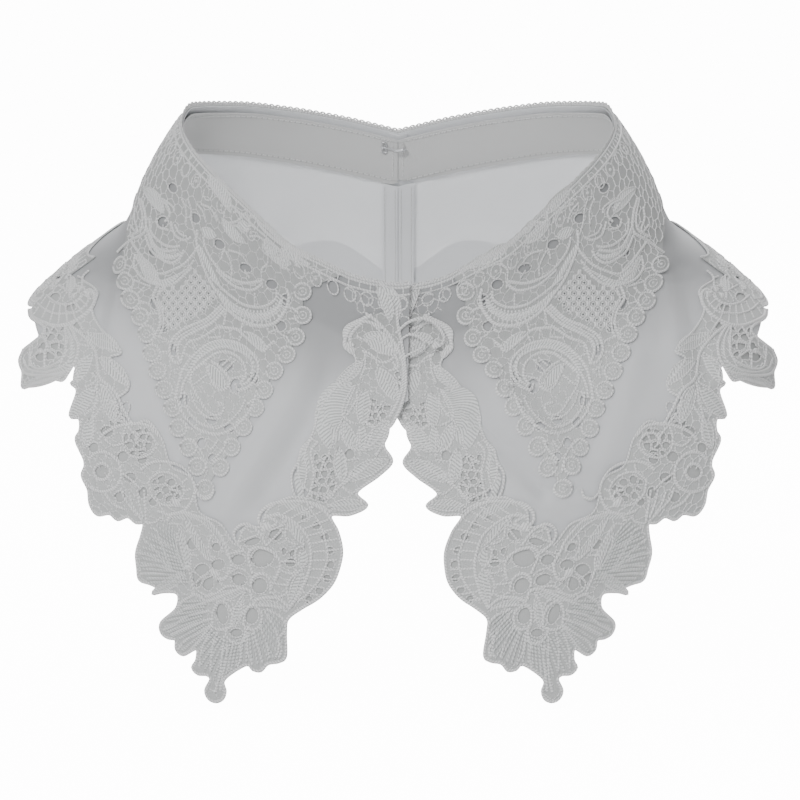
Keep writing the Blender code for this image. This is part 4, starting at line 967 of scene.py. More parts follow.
class Threadwork:
    """Raised threads and satin fillings, gathered in the pattern's plane and then laid on one leaf."""

    def __init__(self, side, limit=None):
        self.side = side
        self.limit = limit
        self.places = []
        self.lifts = []
        self.grain = []
        self.faces = []
        self.finish = []
        self.covered = []
        self.count = 0

    def add(self, places, lifts, grain, faces, finish=0):
        """Adds points of the pattern with their lifts, places along and across the thread, and faces."""
        self.places.append(places)
        self.lifts.append(lifts)
        self.grain.append(grain)
        self.faces += faces
        self.finish += [finish] * len(faces)
        self.count += len(places)

    def strip(self, line, half, section, base, closed=False, finish=0):
        """A band along the line, with a half width and heights across it by the section."""
        line = np.asarray(line, float)
        normal, along = across_of(line, closed)
        half = np.broadcast_to(np.asarray(half, float), len(line))
        base = np.broadcast_to(np.asarray(base, float), len(line))
        rows = [line + normal * (across * half)[:, None] for across, _ in section]
        if finish and len(line) > 6 and half.max() > 1:
            self.covered.append(np.concatenate((rows[0], rows[-1][::-1])))
        lifts = np.concatenate([base + height for _, height in section])
        grain = np.concatenate([np.stack((along, across * half), axis=-1) for across, _ in section])
        faces = rope_faces(self.count, len(line), len(section), closed)
        self.add(np.concatenate(rows), lifts, grain, faces, finish)

    def cord(self, places, width, height, base=CORD_BASE, closed=False, finish=0):
        """A thread with a half-round back along the pattern places."""
        section = [(across, up * height) for across, up in CORD_SECTION]
        self.strip(places, width / 2, section, base, closed, finish)

    def rims(self, outlines):
        """Fine cords round the open gaps."""
        for outline in outlines:
            self.cord(outline, *GAP_RIM, closed=True)

    def satin(self, convert, line, half, height=0.35, base=GROUND_HIGH - 0.05):
        """A low band of satin stitches that narrows at its ends."""
        line = curved(line, 1.2)
        share = np.sin(np.pi * np.linspace(0.06, 0.94, len(line))) ** 0.5
        section = [(across, up * height) for across, up in FILLING_SECTION]
        self.strip(convert(self.side, line), half * share, section, base, finish=1)

    def leaf(self, convert, tip, end, half, bend, ribs, rim=0.9):
        """A pointed leaf from tip to end: a low filling, a rim cord, and ribs along it."""
        start, finish = np.array(tip, float), np.array(end, float)
        span = finish - start
        length = np.linalg.norm(span)
        t = np.linspace(0, 1, max(8, int(length / 1.1)))
        sideways = np.array((-span[1], span[0])) / length
        spine = start + span * t[:, None] + sideways * (bend * 4 * t * (1 - t))[:, None]
        spine = convert(self.side, spine)
        normal, _ = across_of(spine)
        shape = half * np.sin(np.pi * t) ** 0.75
        section = [(across, up * 0.4) for across, up in FILLING_SECTION]
        self.strip(spine, np.maximum(shape - 0.2, 0.05), section, GROUND_HIGH - 0.05, finish=1)
        left = spine + normal * shape[:, None]
        right = spine - normal * shape[:, None]
        self.cord(np.concatenate((left, right[-2:0:-1])), rim, rim * 0.75, closed=True)
        inner = slice(max(1, len(t) // 8), -max(1, len(t) // 8))
        for share in {0: (), 1: (0,), 2: (-0.36, 0.36)}[ribs]:
            self.cord((spine + normal * (shape * share)[:, None])[inner], rim * 0.7, 0.55, CORD_BASE + 0.25)

    def bead(self, convert, across, down, radius):
        """A small raised knot."""
        centre = convert(self.side, [(across, down)])
        turns = np.arange(BEAD_SIDES) * 2 * math.pi / BEAD_SIDES
        ring = np.stack((np.cos(turns), np.sin(turns)), axis=-1) / real_scale(centre)[0]
        tall = min(radius, 1.2)
        grain = np.concatenate([ring * radius * share for share, _ in BEAD_RINGS] + [np.zeros((1, 2))])
        lifts = np.repeat([CORD_BASE + tall * height for _, height in BEAD_RINGS], BEAD_SIDES)
        first, top = self.count, self.count + len(BEAD_RINGS) * BEAD_SIDES
        faces = []
        for i in range(BEAD_SIDES):
            j = (i + 1) % BEAD_SIDES
            for row in range(first, top - BEAD_SIDES, BEAD_SIDES):
                faces.append((row + i, row + j, row + BEAD_SIDES + j, row + BEAD_SIDES + i))
            faces.append((top - BEAD_SIDES + i, top - BEAD_SIDES + j, top))
        faces.append(tuple(first + i for i in reversed(range(BEAD_SIDES))))
        self.add(centre + grain, np.append(lifts, CORD_BASE + tall), grain, faces)

    def ribs(self, convert, first, second, count, width=0.95, height=0.55, finish=0):
        """Straight cords from one line to another."""
        area = np.concatenate((np.array(first, float), np.array(second, float)[::-1]))
        self.covered.append(convert(self.side, area))
        for a, b in zip(spread(first, count), spread(second, count)):
            line = convert(self.side, closely((a, b), 1.2, closed=False))
            if self.limit is not None:
                line = line[np.cumprod(inside(self.limit, line)).astype(bool)]
            if len(line) > 2:
                self.cord(line[:-1] if self.limit is not None else line, width, height, finish=finish)

    def net(self, outline, size, seed, open_areas, width=0.65, base=CORD_BASE):
        """A fine net over the outline, left out where motifs and open areas are."""
        lines = net_lines(outline, size, np.random.default_rng(seed))
        middle = lines.mean(1)
        free = np.ones(len(lines), bool)
        for area in self.covered + list(open_areas):
            free &= ~inside(area, middle)
        lines = lines[free]
        share = np.array((0, 0.5, 1))[None, :, None]
        span = lines[:, 1:] - lines[:, :1]
        places = lines[:, :1] + share * span
        scale = real_scale(places.reshape(-1, 2)).reshape(places.shape)
        forward = span * scale
        length = np.linalg.norm(forward, axis=2, keepdims=True)
        normal = np.stack((-forward[..., 1], forward[..., 0]), axis=-1) / length / scale
        row = len(lines) * 3
        threads, lifts, grain, faces = [], [], [], []
        for across, up in NET_SECTION:
            threads.append((places + normal * (across * width / 2)).reshape(-1, 2))
            lifts.append(np.full(row, base + up))
            grain.append(np.concatenate((share * length, np.full(length.shape, across * width / 2)), axis=-1))
        for start in range(self.count, self.count + row, 3):
            for i in (start, start + 1):
                for a, b in ((0, row), (row, 2 * row), (2 * row, 0)):
                    faces.append((i + a, i + a + 1, i + b + 1, i + b))
            faces.append((start, start + row, start + 2 * row))
            faces.append((start + 2 + 2 * row, start + 2 + row, start + 2))
        self.add(np.concatenate(threads), np.concatenate(lifts), np.concatenate(grain).reshape(-1, 2), faces)

    def motifs(self, convert, cords, leaves, ribs, satin=(), beads=()):
        """All motifs of the tables."""
        for width, *line in cords:
            places = convert(self.side, curved(np.reshape(line, (-1, 2))))
            self.cord(places, width * CORD_FULLNESS, 0.4 + width * 0.45)
        for row in leaves:
            self.leaf(convert, *row)
        for row in ribs:
            self.ribs(convert, *row)
        for line, half in satin:
            self.satin(convert, line, half)
        for row in beads:
            self.bead(convert, *row)

    def object(self, name):
        places = np.concatenate(self.places)
        angle, run = places[:, 0] / PATTERN_RADIUS, places[:, 1]
        vertices = on_leaf(self.side, angle, np.maximum(run, 0), np.concatenate(self.lifts))
        vertices[:, 2] -= np.minimum(run, 0) * MM
        looks = (cord_look(), filling_look())
        made = sewn_object(name, vertices, self.faces, np.concatenate(self.grain), looks, 70, self.finish)
        return made


def net_lines(outline, size, draw):
    """Threads of an irregular net over the outline, as pairs of pattern places."""
    low, high = outline.min(0) - size, outline.max(0) + size
    across = np.linspace(low[0], high[0], 400)
    seeds = []
    for row, run in enumerate(np.arange(low[1], high[1], size * 0.87)):
        wide = real_scale(np.stack((across, np.full(400, run)), axis=-1))[:, 0]
        along = np.concatenate(([0], np.cumsum(np.diff(across) * wide[1:])))
        at = np.arange(size * (0.5 + (row % 2) / 2), along[-1], size)
        at = at + draw.uniform(-0.34, 0.34, len(at)) * size
        down = run + draw.uniform(-0.34, 0.34, len(at)) * size
        seeds += zip(np.interp(at, along, across), down)
    seeds = np.array(seeds)
    squeezed = [Vector((x * NET_STRETCH, y)) for x, y in seeds]
    points, _, triangles, _, _, _ = delaunay_2d_cdt(squeezed, [], [], 0, 1e-5, False)
    points = np.array(points) / (NET_STRETCH, 1)
    centres = points[np.array(triangles)].mean(1)
    owner = {}
    pairs = []
    for index, corners in enumerate(triangles):
        for a, b in zip(corners, (*corners[1:], corners[0])):
            edge = (min(a, b), max(a, b))
            if edge in owner:
                pairs.append((owner[edge], index))
            owner[edge] = index
    lines = centres[np.array(pairs)]
    return lines[inside(outline, lines[:, 0]) & inside(outline, lines[:, 1])]


def net_seeds(outline, size):
    """Places in staggered rows inside the outline."""
    outline = np.asarray(outline, float)
    low, high = outline.min(0), outline.max(0)
    rows, columns = int((high[1] - low[1]) / (size * 0.6)) + 2, int((high[0] - low[0]) / size) + 2
    seeds = np.array([
        low + ((column + (row % 2) / 2) * size, row * size * 0.6)
        for row in range(rows)
        for column in range(columns)
    ])
    return seeds[inside(outline, seeds)]


def neckline_base(angle):
    """Height that the neckline's threads lie at: on the chiffon in front of the panel, else on the lace."""
    return 0.02 + (CORD_BASE - 0.02) * soft_step(np.degrees(angle), 12.5, 15)


def neckline_threads(work):
    """The ropes, bars and small loops of the strip along the neckline."""
    first = math.radians(-LAP_ANGLE if work.side < 0 else 1.2)
    angles = np.linspace(first, BACK_EDGE, 440)
    for run, width in ((-0.5, 1.3), (0.9, 1.2), (4.6, 1.1)):
        line = flat(np.stack((angles, np.full(len(angles), run)), axis=-1))
        work.cord(line, width, 0.8, base=neckline_base(angles))
    fine = np.linspace(first, BACK_EDGE, 1500)
    along = distances(leaf_surface(fine, 2.0 + 0 * fine)[:, :2])
    picots = -0.8 - 1.0 * np.abs(np.sin(math.pi * along / PICOT_LENGTH)) ** 0.8
    work.cord(flat(np.stack((fine, picots), axis=-1)), 0.8, 0.6, base=neckline_base(fine))
    reach = distances(leaf_surface(angles, 2.0 + 0 * angles)[:, :2])
    for at in np.arange(3, reach[-1] - 2, NECK_BAR_SPACING):
        angle = np.interp(at, reach, angles)
        work.cord(flat([(angle, 0.8), (angle, 2.6), (angle, 4.5)]), 0.7, 0.5, base=neckline_base(angle))
    for index, at in enumerate(np.arange(4, reach[-1] - 4, NECK_LOOP_SPACING)):
        angle = np.interp(at, reach, angles)
        centre = flat([(angle, 8.5)])
        loop = centre + oval(0, 0, 2.9, 3.3, count=14) / real_scale(centre)[0]
        work.cord(loop, 0.8, 0.55, base=neckline_base(angle), closed=True)
        if index % 2 and angle > math.radians(16):
            work.bead(as_pattern, *centre[0], 0.9)
    work.satin(seen_point, NECK_SCROLL, 2.1, base=0.02)
    for rim in NECK_SCROLL_RIMS:
        work.cord(seen_point(work.side, curved(rim)), 1.1, 0.8, base=0.02)
    front = flat([(first, 5.5), (math.radians(14), 5.5), (math.radians(11), 17), (first, 19)])
    work.net(front, 4.6, 24, (), base=0.02)
    behind = np.linspace(math.radians(104), BACK_EDGE, 200)
    edge = NECK_STRIP_DEPTH - NECK_STRIP_SCALLOP * np.cos((math.pi - behind) * 38)
    work.cord(flat(np.stack((behind, edge), axis=-1)), 1.1, 0.8)


def open_gaps(gaps, nets, leaves, seed):
    """Outlines of the gaps that no net or leaf takes, and the cells of the nets."""
    draw = np.random.default_rng(seed)
    kept = []
    for row in gaps:
        centre = np.array([row[:2]], float)
        if any(inside(np.asarray(outline, float), centre)[0] for outline, _ in nets):
            continue
        taken = False
        for tip, end, half, _, _ in leaves:
            a, b = np.array(tip, float), np.array(end, float)
            t = np.clip(np.dot(centre[0] - a, b - a) / np.dot(b - a, b - a), 0, 1)
            taken |= np.linalg.norm(a + (b - a) * t - centre[0]) < half + 0.5
        if not taken:
            kept.append(oval(*row))
    for outline, size in nets:
        kept += net_cells(outline, size, draw)
    return kept


# Materials

def node(tree, kind, **settings):
    made = tree.nodes.new(kind)
    for key, value in settings.items():
        setattr(made, key, value)
    return made


def feed(tree, socket, value):
    """Links an output to the socket, or sets the socket's own value."""
    if isinstance(value, bpy.types.NodeSocket):
        tree.links.new(value, socket)
    elif value is not None:
        socket.default_value = value


def maths(tree, operation, first, second=None, third=None):
    made = node(tree, "ShaderNodeMath", operation=operation)
    for socket, value in zip(made.inputs, (first, second, third)):
        feed(tree, socket, value)
    return made.outputs[0]


def group_tree(name, inputs, outputs):
    """An empty node group with its sockets: (name, kind, default) going in, (name, kind) coming out."""
    tree = bpy.data.node_groups.new(name, "ShaderNodeTree")
    for label, kind, default in inputs:
        socket = tree.interface.new_socket(name=label, in_out="INPUT", socket_type=kind)
        if default is not None:
            socket.default_value = default
    for label, kind in outputs:
        tree.interface.new_socket(name=label, in_out="OUTPUT", socket_type=kind)
    return tree, tree.nodes.new("NodeGroupInput"), tree.nodes.new("NodeGroupOutput")


def split(tree, vector):
    """The three outputs of a split vector."""
    made = node(tree, "ShaderNodeSeparateXYZ")
    tree.links.new(vector, made.inputs[0])
    return made.outputs


def eased(tree, value, low, high, start, end):
    """Goes smoothly from start to end as the value goes from low to high."""
    made = node(tree, "ShaderNodeMapRange", interpolation_type="SMOOTHSTEP")
    for label, number in (
        ("Value", value), ("From Min", low), ("From Max", high), ("To Min", start), ("To Max", end),
    ):
        feed(tree, made.inputs[label], number)
    return made.outputs[0]


def noisy(tree, vector, scale, detail):
    """Noise over the vector."""
    made = node(tree, "ShaderNodeTexNoise")
    tree.links.new(vector, made.inputs["Vector"])
    feed(tree, made.inputs["Scale"], scale)
    made.inputs["Detail"].default_value = detail
    return made


def weave_group():
    """Plain weave of crossing threads, by pattern coordinates in millimetres."""
    found = bpy.data.node_groups.get("Plain weave")
    if found:
        return found
    tree, into, out = group_tree(
        "Plain weave",
        (("Place", "NodeSocketVector", None), ("Threads per mm", "NodeSocketFloat", 2.0)),
        (("Height", "NodeSocketFloat"), ("Gaps", "NodeSocketFloat")),
    )
    drift = maths(tree, "MULTIPLY", noisy(tree, into.outputs["Place"], 0.35, 2).outputs[0], 1.5)
    waves = []
    for way in split(tree, into.outputs["Place"])[:2]:
        turns = maths(tree, "MULTIPLY", way, into.outputs["Threads per mm"])
        waves.append(maths(tree, "SINE", maths(tree, "MULTIPLY", maths(tree, "ADD", turns, drift), math.pi)))
    ridges = [maths(tree, "ABSOLUTE", wave) for wave in waves]
    high = maths(tree, "MAXIMUM", *ridges)
    height = maths(tree, "MULTIPLY_ADD", maths(tree, "MULTIPLY", *waves), 0.3, high)
    tree.links.new(height, out.inputs["Height"])
    tree.links.new(maths(tree, "SUBTRACT", 1.0, maths(tree, "MULTIPLY", *ridges)), out.inputs["Gaps"])
    return tree


def stitch_group():
    """Slanted satin stitches wound across a cord, by distance along and across it in millimetres."""
    found = bpy.data.node_groups.get("Satin stitch")
    if found:
        return found
    tree, into, out = group_tree(
        "Satin stitch",
        (
            ("Place", "NodeSocketVector", None),
            ("Stitches per mm", "NodeSocketFloat", 1.6),
            ("Slant", "NodeSocketFloat", 0.6),
        ),
        (("Height", "NodeSocketFloat"), ("Groove", "NodeSocketFloat")),
    )
    along, across, _ = split(tree, into.outputs["Place"])
    slanted = maths(tree, "MULTIPLY_ADD", across, into.outputs["Slant"], along)
    rough = noisy(tree, into.outputs["Place"], 0.9, 3)
    wobbly = maths(tree, "MULTIPLY_ADD", rough.outputs[0], 0.5, slanted)
    turns = maths(tree, "MULTIPLY", wobbly, into.outputs["Stitches per mm"])
    ridge = maths(tree, "ABSOLUTE", maths(tree, "SINE", maths(tree, "MULTIPLY", turns, math.pi)))
    tree.links.new(maths(tree, "POWER", ridge, 0.6), out.inputs["Height"])
    tree.links.new(maths(tree, "SUBTRACT", 1.0, ridge), out.inputs["Groove"])
    return tree


def tone_group():
    """Slow change of tone over a cloth, by its place in the object."""
    found = bpy.data.node_groups.get("Cloth tone")
    if found:
        return found
    tree, into, out = group_tree(
        "Cloth tone", (("Patch size", "NodeSocketFloat", 0.05),), (("Tone", "NodeSocketFloat"),)
    )
    where = node(tree, "ShaderNodeTexCoord").outputs["Object"]
    noise = noisy(tree, where, maths(tree, "DIVIDE", 1.0, into.outputs["Patch size"]), 4)
    noise.inputs["Roughness"].default_value = 0.55
    tree.links.new(noise.outputs[0], out.inputs["Tone"])
    return tree


def placed(tree, group, **values):
    made = node(tree, "ShaderNodeGroup", node_tree=group)
    for label, value in values.items():
        feed(tree, made.inputs[label.replace("_", " ")], value)
    return made


def blended(tree, share, first, second):
    """A colour between two, by a share."""
    mix = node(tree, "ShaderNodeMix", data_type="RGBA")
    feed(tree, mix.inputs["Factor"], share)
    feed(tree, mix.inputs["A"], first)
    feed(tree, mix.inputs["B"], second)
    return mix.outputs["Result"]


def shade(colour, share):
    return (*(value * share for value in colour[:3]), 1.0)


def new_material(name, roughness, sheen=0.0):
    look = bpy.data.materials.get(name)
    if look:
        return look, None, None
    look = bpy.data.materials.new(name)
    look.use_nodes = True
    shader = look.node_tree.nodes["Principled BSDF"]
    shader.inputs["Roughness"].default_value = roughness
    shader.inputs["Sheen Weight"].default_value = sheen
    shader.inputs["Sheen Roughness"].default_value = 0.5
    return look, look.node_tree, shader


def pattern_place(tree):
    return node(tree, "ShaderNodeUVMap", uv_map="pattern").outputs[0]


def bumped(tree, shader, height, distance, strength=1.0):
    bump = node(tree, "ShaderNodeBump")
    bump.inputs["Strength"].default_value = strength
    bump.inputs["Distance"].default_value = distance
    tree.links.new(height, bump.inputs["Height"])
    tree.links.new(bump.outputs[0], shader.inputs["Normal"])


def painted_neck_shade(tree, colour, share=1.0):
    """The colour with painted shade near the front neckline: the band and dark inside seen through sheer
    cloth.
    """
    across, down, _ = split(tree, pattern_place(tree))
    near = eased(tree, maths(tree, "MULTIPLY_ADD", across, -0.3, down), 12, 60, 1, 0)
    front = eased(tree, across, 190, 245, 0.5 * share, 0)
    # painted shade: darkens the colour near the front neckline
    dark = node(tree, "ShaderNodeMix", data_type="RGBA", blend_type="MULTIPLY")
    tree.links.new(maths(tree, "MULTIPLY", near, front), dark.inputs["Factor"])
    tree.links.new(colour, dark.inputs["A"])
    dark.inputs["B"].default_value = (0.1, 0.1, 0.1, 1)
    return dark.outputs["Result"]


def toned(tree, patch, low, high):
    """A colour that changes slowly from one to another, in patches of this size in metres."""
    return blended(tree, placed(tree, tone_group(), Patch_size=patch).outputs[0], low, high)


def woven(tree, shader, base, threads, gap_share, gap_colour, bump):
    """The base colour with a weave's darker gaps, its gaps, and its threads as a bump."""
    weave = placed(tree, weave_group(), Place=pattern_place(tree), Threads_per_mm=threads)
    bumped(tree, shader, weave.outputs["Height"], *bump)
    gaps = weave.outputs["Gaps"]
    return blended(tree, maths(tree, "MULTIPLY", gaps, gap_share), base, gap_colour), gaps


def stitched(tree, shader, base, stitches, slant, groove_share, groove_colour):
    """Satin stitches: the base colour with painted shade in the grooves between them, and the stitches as a
    bump.
    """
    place = pattern_place(tree)
    stitch = placed(tree, stitch_group(), Place=place, Stitches_per_mm=stitches, Slant=slant)
    groove = maths(tree, "MULTIPLY", stitch.outputs["Groove"], groove_share)
    # painted shade: darker colour in the grooves between stitches
    tree.links.new(blended(tree, groove, base, groove_colour), shader.inputs["Base Color"])
    bumped(tree, shader, stitch.outputs["Height"], 0.0004, 0.9)


def chiffon_look():
    """Sheer chiffon, clearer at the back where no second layer lies behind it, and lighter there by painted
    light.
    """
    collar = bpy.context.scene.false_collar
    look, tree, shader = new_material("sheer_chiffon", 0.72, 0.12)
    if tree:
        tint = collar.chiffon_colour
        base = toned(tree, 0.09, shade(tint, 0.97), tint)
        threads = collar.chiffon_threads
        colour, gaps = woven(tree, shader, base, threads, 0.25, shade(tint, 0.9), (0.00006, 0.5))
        back = eased(tree, split(tree, pattern_place(tree))[0], 225, 310, 0, 1)
        # painted light: the back is lifted for light shining through; the darker front stands for its shaded
        # inside
        colour = blended(tree, back, painted_neck_shade(tree, colour), shade(tint, 1.4))
        tree.links.new(colour, shader.inputs["Base Color"])
        sheer = maths(tree, "MULTIPLY_ADD", back, collar.chiffon_sheer * 0.5, collar.chiffon_sheer * 0.5)
        clear = maths(tree, "MULTIPLY", gaps, sheer)
        tree.links.new(maths(tree, "SUBTRACT", 1.0, clear), shader.inputs["Alpha"])
    return look


def band_look():
    """The interlined neckband, with painted shade in lines along its seams."""
    tint = bpy.context.scene.false_collar.band_colour
    look, tree, shader = new_material("interlined_cloth", 0.8, 0.08)
    if tree:
        base = toned(tree, 0.06, shade(tint, 0.95), tint)
        colour, _ = woven(tree, shader, base, 1.6, 0.3, shade(tint, 0.88), (0.0001, 0.6))
        down = split(tree, pattern_place(tree))[1]
        # painted shade: darker lines along the seams
        for run in SEAM_RUNS:
            off = maths(tree, "ABSOLUTE", maths(tree, "SUBTRACT", down, run))
            far = maths(tree, "SMOOTH_MIN", maths(tree, "DIVIDE", off, 0.8), 1.0, 0.2)
            near = maths(tree, "SUBTRACT", 1.0, far)
            colour = blended(tree, maths(tree, "MULTIPLY", near, 0.5), colour, shade(tint, 0.6))
        tree.links.new(colour, shader.inputs["Base Color"])
    return look


def ground_look():
    """The lace's fine ground between its cords, with painted shade near the front neckline."""
    tint = bpy.context.scene.false_collar.ground_colour
    look, tree, shader = new_material("lace_ground", 0.75, 0.1)
    if tree:
        base = toned(tree, 0.02, shade(tint, 0.94), tint)
        colour, _ = woven(tree, shader, base, 1.1, 0.4, shade(tint, 0.82), (0.00025, 0.7))
        # painted shade near the front neckline
        tree.links.new(painted_neck_shade(tree, colour, 0.6), shader.inputs["Base Color"])
    return look


def net_look():
    """The fine net that backs the edging."""
    tint = bpy.context.scene.false_collar.ground_colour
    look, tree, shader = new_material("lace_net", 0.8, 0.05)
    if tree:
        colour, _ = woven(tree, shader, shade(tint, 0.9), 1.5, 0.5, shade(tint, 0.78), (0.00015, 0.6))
        tree.links.new(colour, shader.inputs["Base Color"])
    return look


def cord_look():
    """The lace's raised cords, greyer towards the neckline by painted shade."""
    collar = bpy.context.scene.false_collar
    look, tree, shader = new_material("stitched_cord", 0.5, 0.2)
    if tree:
        tint = collar.thread_colour
        height = split(tree, node(tree, "ShaderNodeTexCoord").outputs["Object"])[2]
        # painted shade: greyer higher up, towards the neckline
        high = eased(tree, height, -0.085, -0.02, 0, 0.45)
        base = blended(tree, high, toned(tree, 0.015, shade(tint, 0.95), tint), shade(tint, 0.68))
        stitched(tree, shader, base, collar.stitches_per_mm, 0.6, 0.85, shade(tint, 0.62))
    return look


def filling_look():
    """The low satin fillings of the leaves, close to the ground's tone."""
    tint = bpy.context.scene.false_collar.ground_colour
    look, tree, shader = new_material("lace_filling", 0.6, 0.15)
    if tree:
        base = toned(tree, 0.008, shade(tint, 1.28), shade(tint, 1.48))
        stitched(tree, shader, base, 0.55, 0.8, 0.9, shade(tint, 0.75))
    return look


def metal_look():
    """Bright wire with small changes of tone and gloss."""
    tint = bpy.context.scene.false_collar.metal_colour
    look, tree, shader = new_material("bright_wire", 0.3)
    if tree:
        shader.inputs["Metallic"].default_value = 1.0
        tone = placed(tree, tone_group(), Patch_size=0.0015).outputs[0]
        tree.links.new(blended(tree, tone, shade(tint, 0.85), tint), shader.inputs["Base Color"])
        tree.links.new(maths(tree, "MULTIPLY_ADD", tone, 0.25, 0.2), shader.inputs["Roughness"])
    return look


def floor_look():
    """A matt floor that the camera sees as white as the air."""
    tint = bpy.context.scene.false_collar.floor_colour
    look, tree, shader = new_material("studio_floor", 0.9)
    if tree:
        tree.links.new(toned(tree, 1.5, shade(tint, 0.99), tint), shader.inputs["Base Color"])
        seen = node(tree, "ShaderNodeLightPath").outputs["Is Camera Ray"]
        tree.links.new(blended(tree, seen, (0, 0, 0, 1), (1, 1, 1, 1)), shader.inputs["Emission Color"])
        shader.inputs["Emission Strength"].default_value = FLOOR_SEEN
    return look


# Sizes and colours that a user would change

class CollarSettings(bpy.types.PropertyGroup):
    chiffon_colour: bpy.props.FloatVectorProperty(
        name="Chiffon colour", description="Colour of the sheer leaves", subtype="COLOR", size=4,
        min=0, max=1, default=(0.66, 0.672, 0.692, 1),
    )
    thread_colour: bpy.props.FloatVectorProperty(
        name="Thread colour", description="Colour of the lace's cords", subtype="COLOR", size=4,
        min=0, max=1, default=(0.98, 0.985, 0.99, 1),
    )
    ground_colour: bpy.props.FloatVectorProperty(
        name="Ground colour", description="Colour of the lace's fine ground", subtype="COLOR", size=4,
        min=0, max=1, default=(0.61, 0.622, 0.622, 1),
    )
    band_colour: bpy.props.FloatVectorProperty(
        name="Band colour", description="Colour of the neckband", subtype="COLOR", size=4,
        min=0, max=1, default=(0.66, 0.665, 0.665, 1),
    )
    metal_colour: bpy.props.FloatVectorProperty(
        name="Hook colour", description="Colour of the hook's wire", subtype="COLOR", size=4,
        min=0, max=1, default=(0.75, 0.76, 0.78, 1),
    )
    floor_colour: bpy.props.FloatVectorProperty(
        name="Floor colour", description="Colour of the studio floor", subtype="COLOR", size=4,
        min=0, max=1, default=(0.9, 0.9, 0.9, 1),
    )
    chiffon_wall: bpy.props.FloatProperty(
        name="Chiffon thickness", description="Thickness of the sheer cloth", unit="LENGTH", default=0.0004
    )
    cloth_spacing: bpy.props.FloatProperty(
        name="Cloth mesh", description="Size of the triangles of the leaves", unit="LENGTH", default=0.003
    )
    lace_spacing: bpy.props.FloatProperty(
        name="Lace mesh", description="Size of the triangles of the lace ground", unit="LENGTH", default=0.0025
    )
    cord_width: bpy.props.FloatProperty(
        name="Cord width", description="Width of the lace's main cords", unit="LENGTH", default=0.0012
    )
    cord_height: bpy.props.FloatProperty(
        name="Cord height", description="Height of the lace's main cords", unit="LENGTH", default=0.0008
    )
    chiffon_sheer: bpy.props.FloatProperty(
        name="Sheerness", description="How clear the gaps between the chiffon's threads are",
        subtype="FACTOR", min=0, max=1, default=0.19,
    )
    chiffon_threads: bpy.props.FloatProperty(
        name="Chiffon threads", description="Threads in a millimetre of chiffon", default=2.2
    )
    stitches_per_mm: bpy.props.FloatProperty(
        name="Stitches", description="Satin stitches in a millimetre of cord", default=0.65
    )


# Pieces

def lace_ground(name, side, outlines, gaps):
    """The lace's ground with its open gaps."""
    spacing = bpy.context.scene.false_collar.lace_spacing / MM
    return shell(name, side, *filled(outlines, gaps, spacing), GROUND_LOW, GROUND_HIGH, ground_look())


def main_cord():
    """Width and height of the lace's main cords, millimetres."""
    collar = bpy.context.scene.false_collar
    return collar.cord_width / MM, collar.cord_height / MM


def across_slit(run):
    """Radius in millimetres of the cloth at the centre back."""
    return NECK_HALF_WIDTH + hang(BACK_HANG, run)[0]


class COLLAR_OT_leaves(bpy.types.Operator):
    """Cuts the two sheer leaves, with their creases"""

    bl_idname = "collar.leaves"
    bl_label = "Chiffon leaves"

    def execute(self, context):
        collar = context.scene.false_collar
        back = BACK_EDGE_DEGREES
        for word, side in SIDES:
            neck = flat([(math.radians(a), 0.0) for a in np.linspace(back, -LAP_ANGLE, 130)])
            front = seen_point(side, curved(LEAF_HEM, 2.5))
            behind = np.linspace(92, back, 60)
            hem = flat([(math.radians(a), back_hem(a, smooth=True) - LEAF_SHORT) for a in behind])
            cut = filled([np.concatenate((neck, front, hem))], [], collar.cloth_spacing / MM)
            made = shell(f"chiffon_{word}", side, *cut, -collar.chiffon_wall / MM, 0.0, chiffon_look())
            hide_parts(f"leaf_{word}")
        return {"FINISHED"}


class COLLAR_OT_neckband(bpy.types.Operator):
    """Sews the neckband, open at the centre back"""

    bl_idname = "collar.neckband"
    bl_label = "Neckband"

    def execute(self, context):
        end = BACK_EDGE_DEGREES
        steps, rows = 241, 9
        layers, pattern = [], []
        for value in np.linspace(-end, end, steps):
            size = np.array(abs(value))
            side = 1 if value > 0 else -1
            rounding = 1 - soft_step(end - size, 0, BAND_CORNER_ANGLE)
            top = BAND_DROP + rounding * BAND_CORNER / 3
            bottom = BAND_DROP + BAND_HEIGHT - rounding * BAND_CORNER
            if side > 0:
                bottom -= BAND_STEP * soft_step(size, 166, 179)
            lift = -LEAF_WALL - BAND_GAP - LAP_DEPTH * (1 - soft_step(size, *LAP_FADE))
            runs = np.linspace(top, bottom, rows)
            angle = np.full(rows, np.radians(size))
            pinch = BAND_PINCH * (np.abs(np.linspace(-1, 1, rows)) ** 8)
            layers.append([
                on_leaf(-1, angle, runs, lifted) * (-side, 1, 1)
                for lifted in (lift - pinch, lift - BAND_WALL + pinch)
            ])
            pattern.append(np.stack((np.full(rows, math.radians(value) * 100), runs), axis=-1))
        vertices = np.array(layers).transpose(1, 0, 2, 3).reshape(-1, 3)
        pattern = np.concatenate(pattern * 2)
        made = sewn_object("neckband_cloth", vertices, slab_faces(steps, rows), pattern, band_look(), sharp=60)
        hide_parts("neckband")
        return {"FINISHED"}


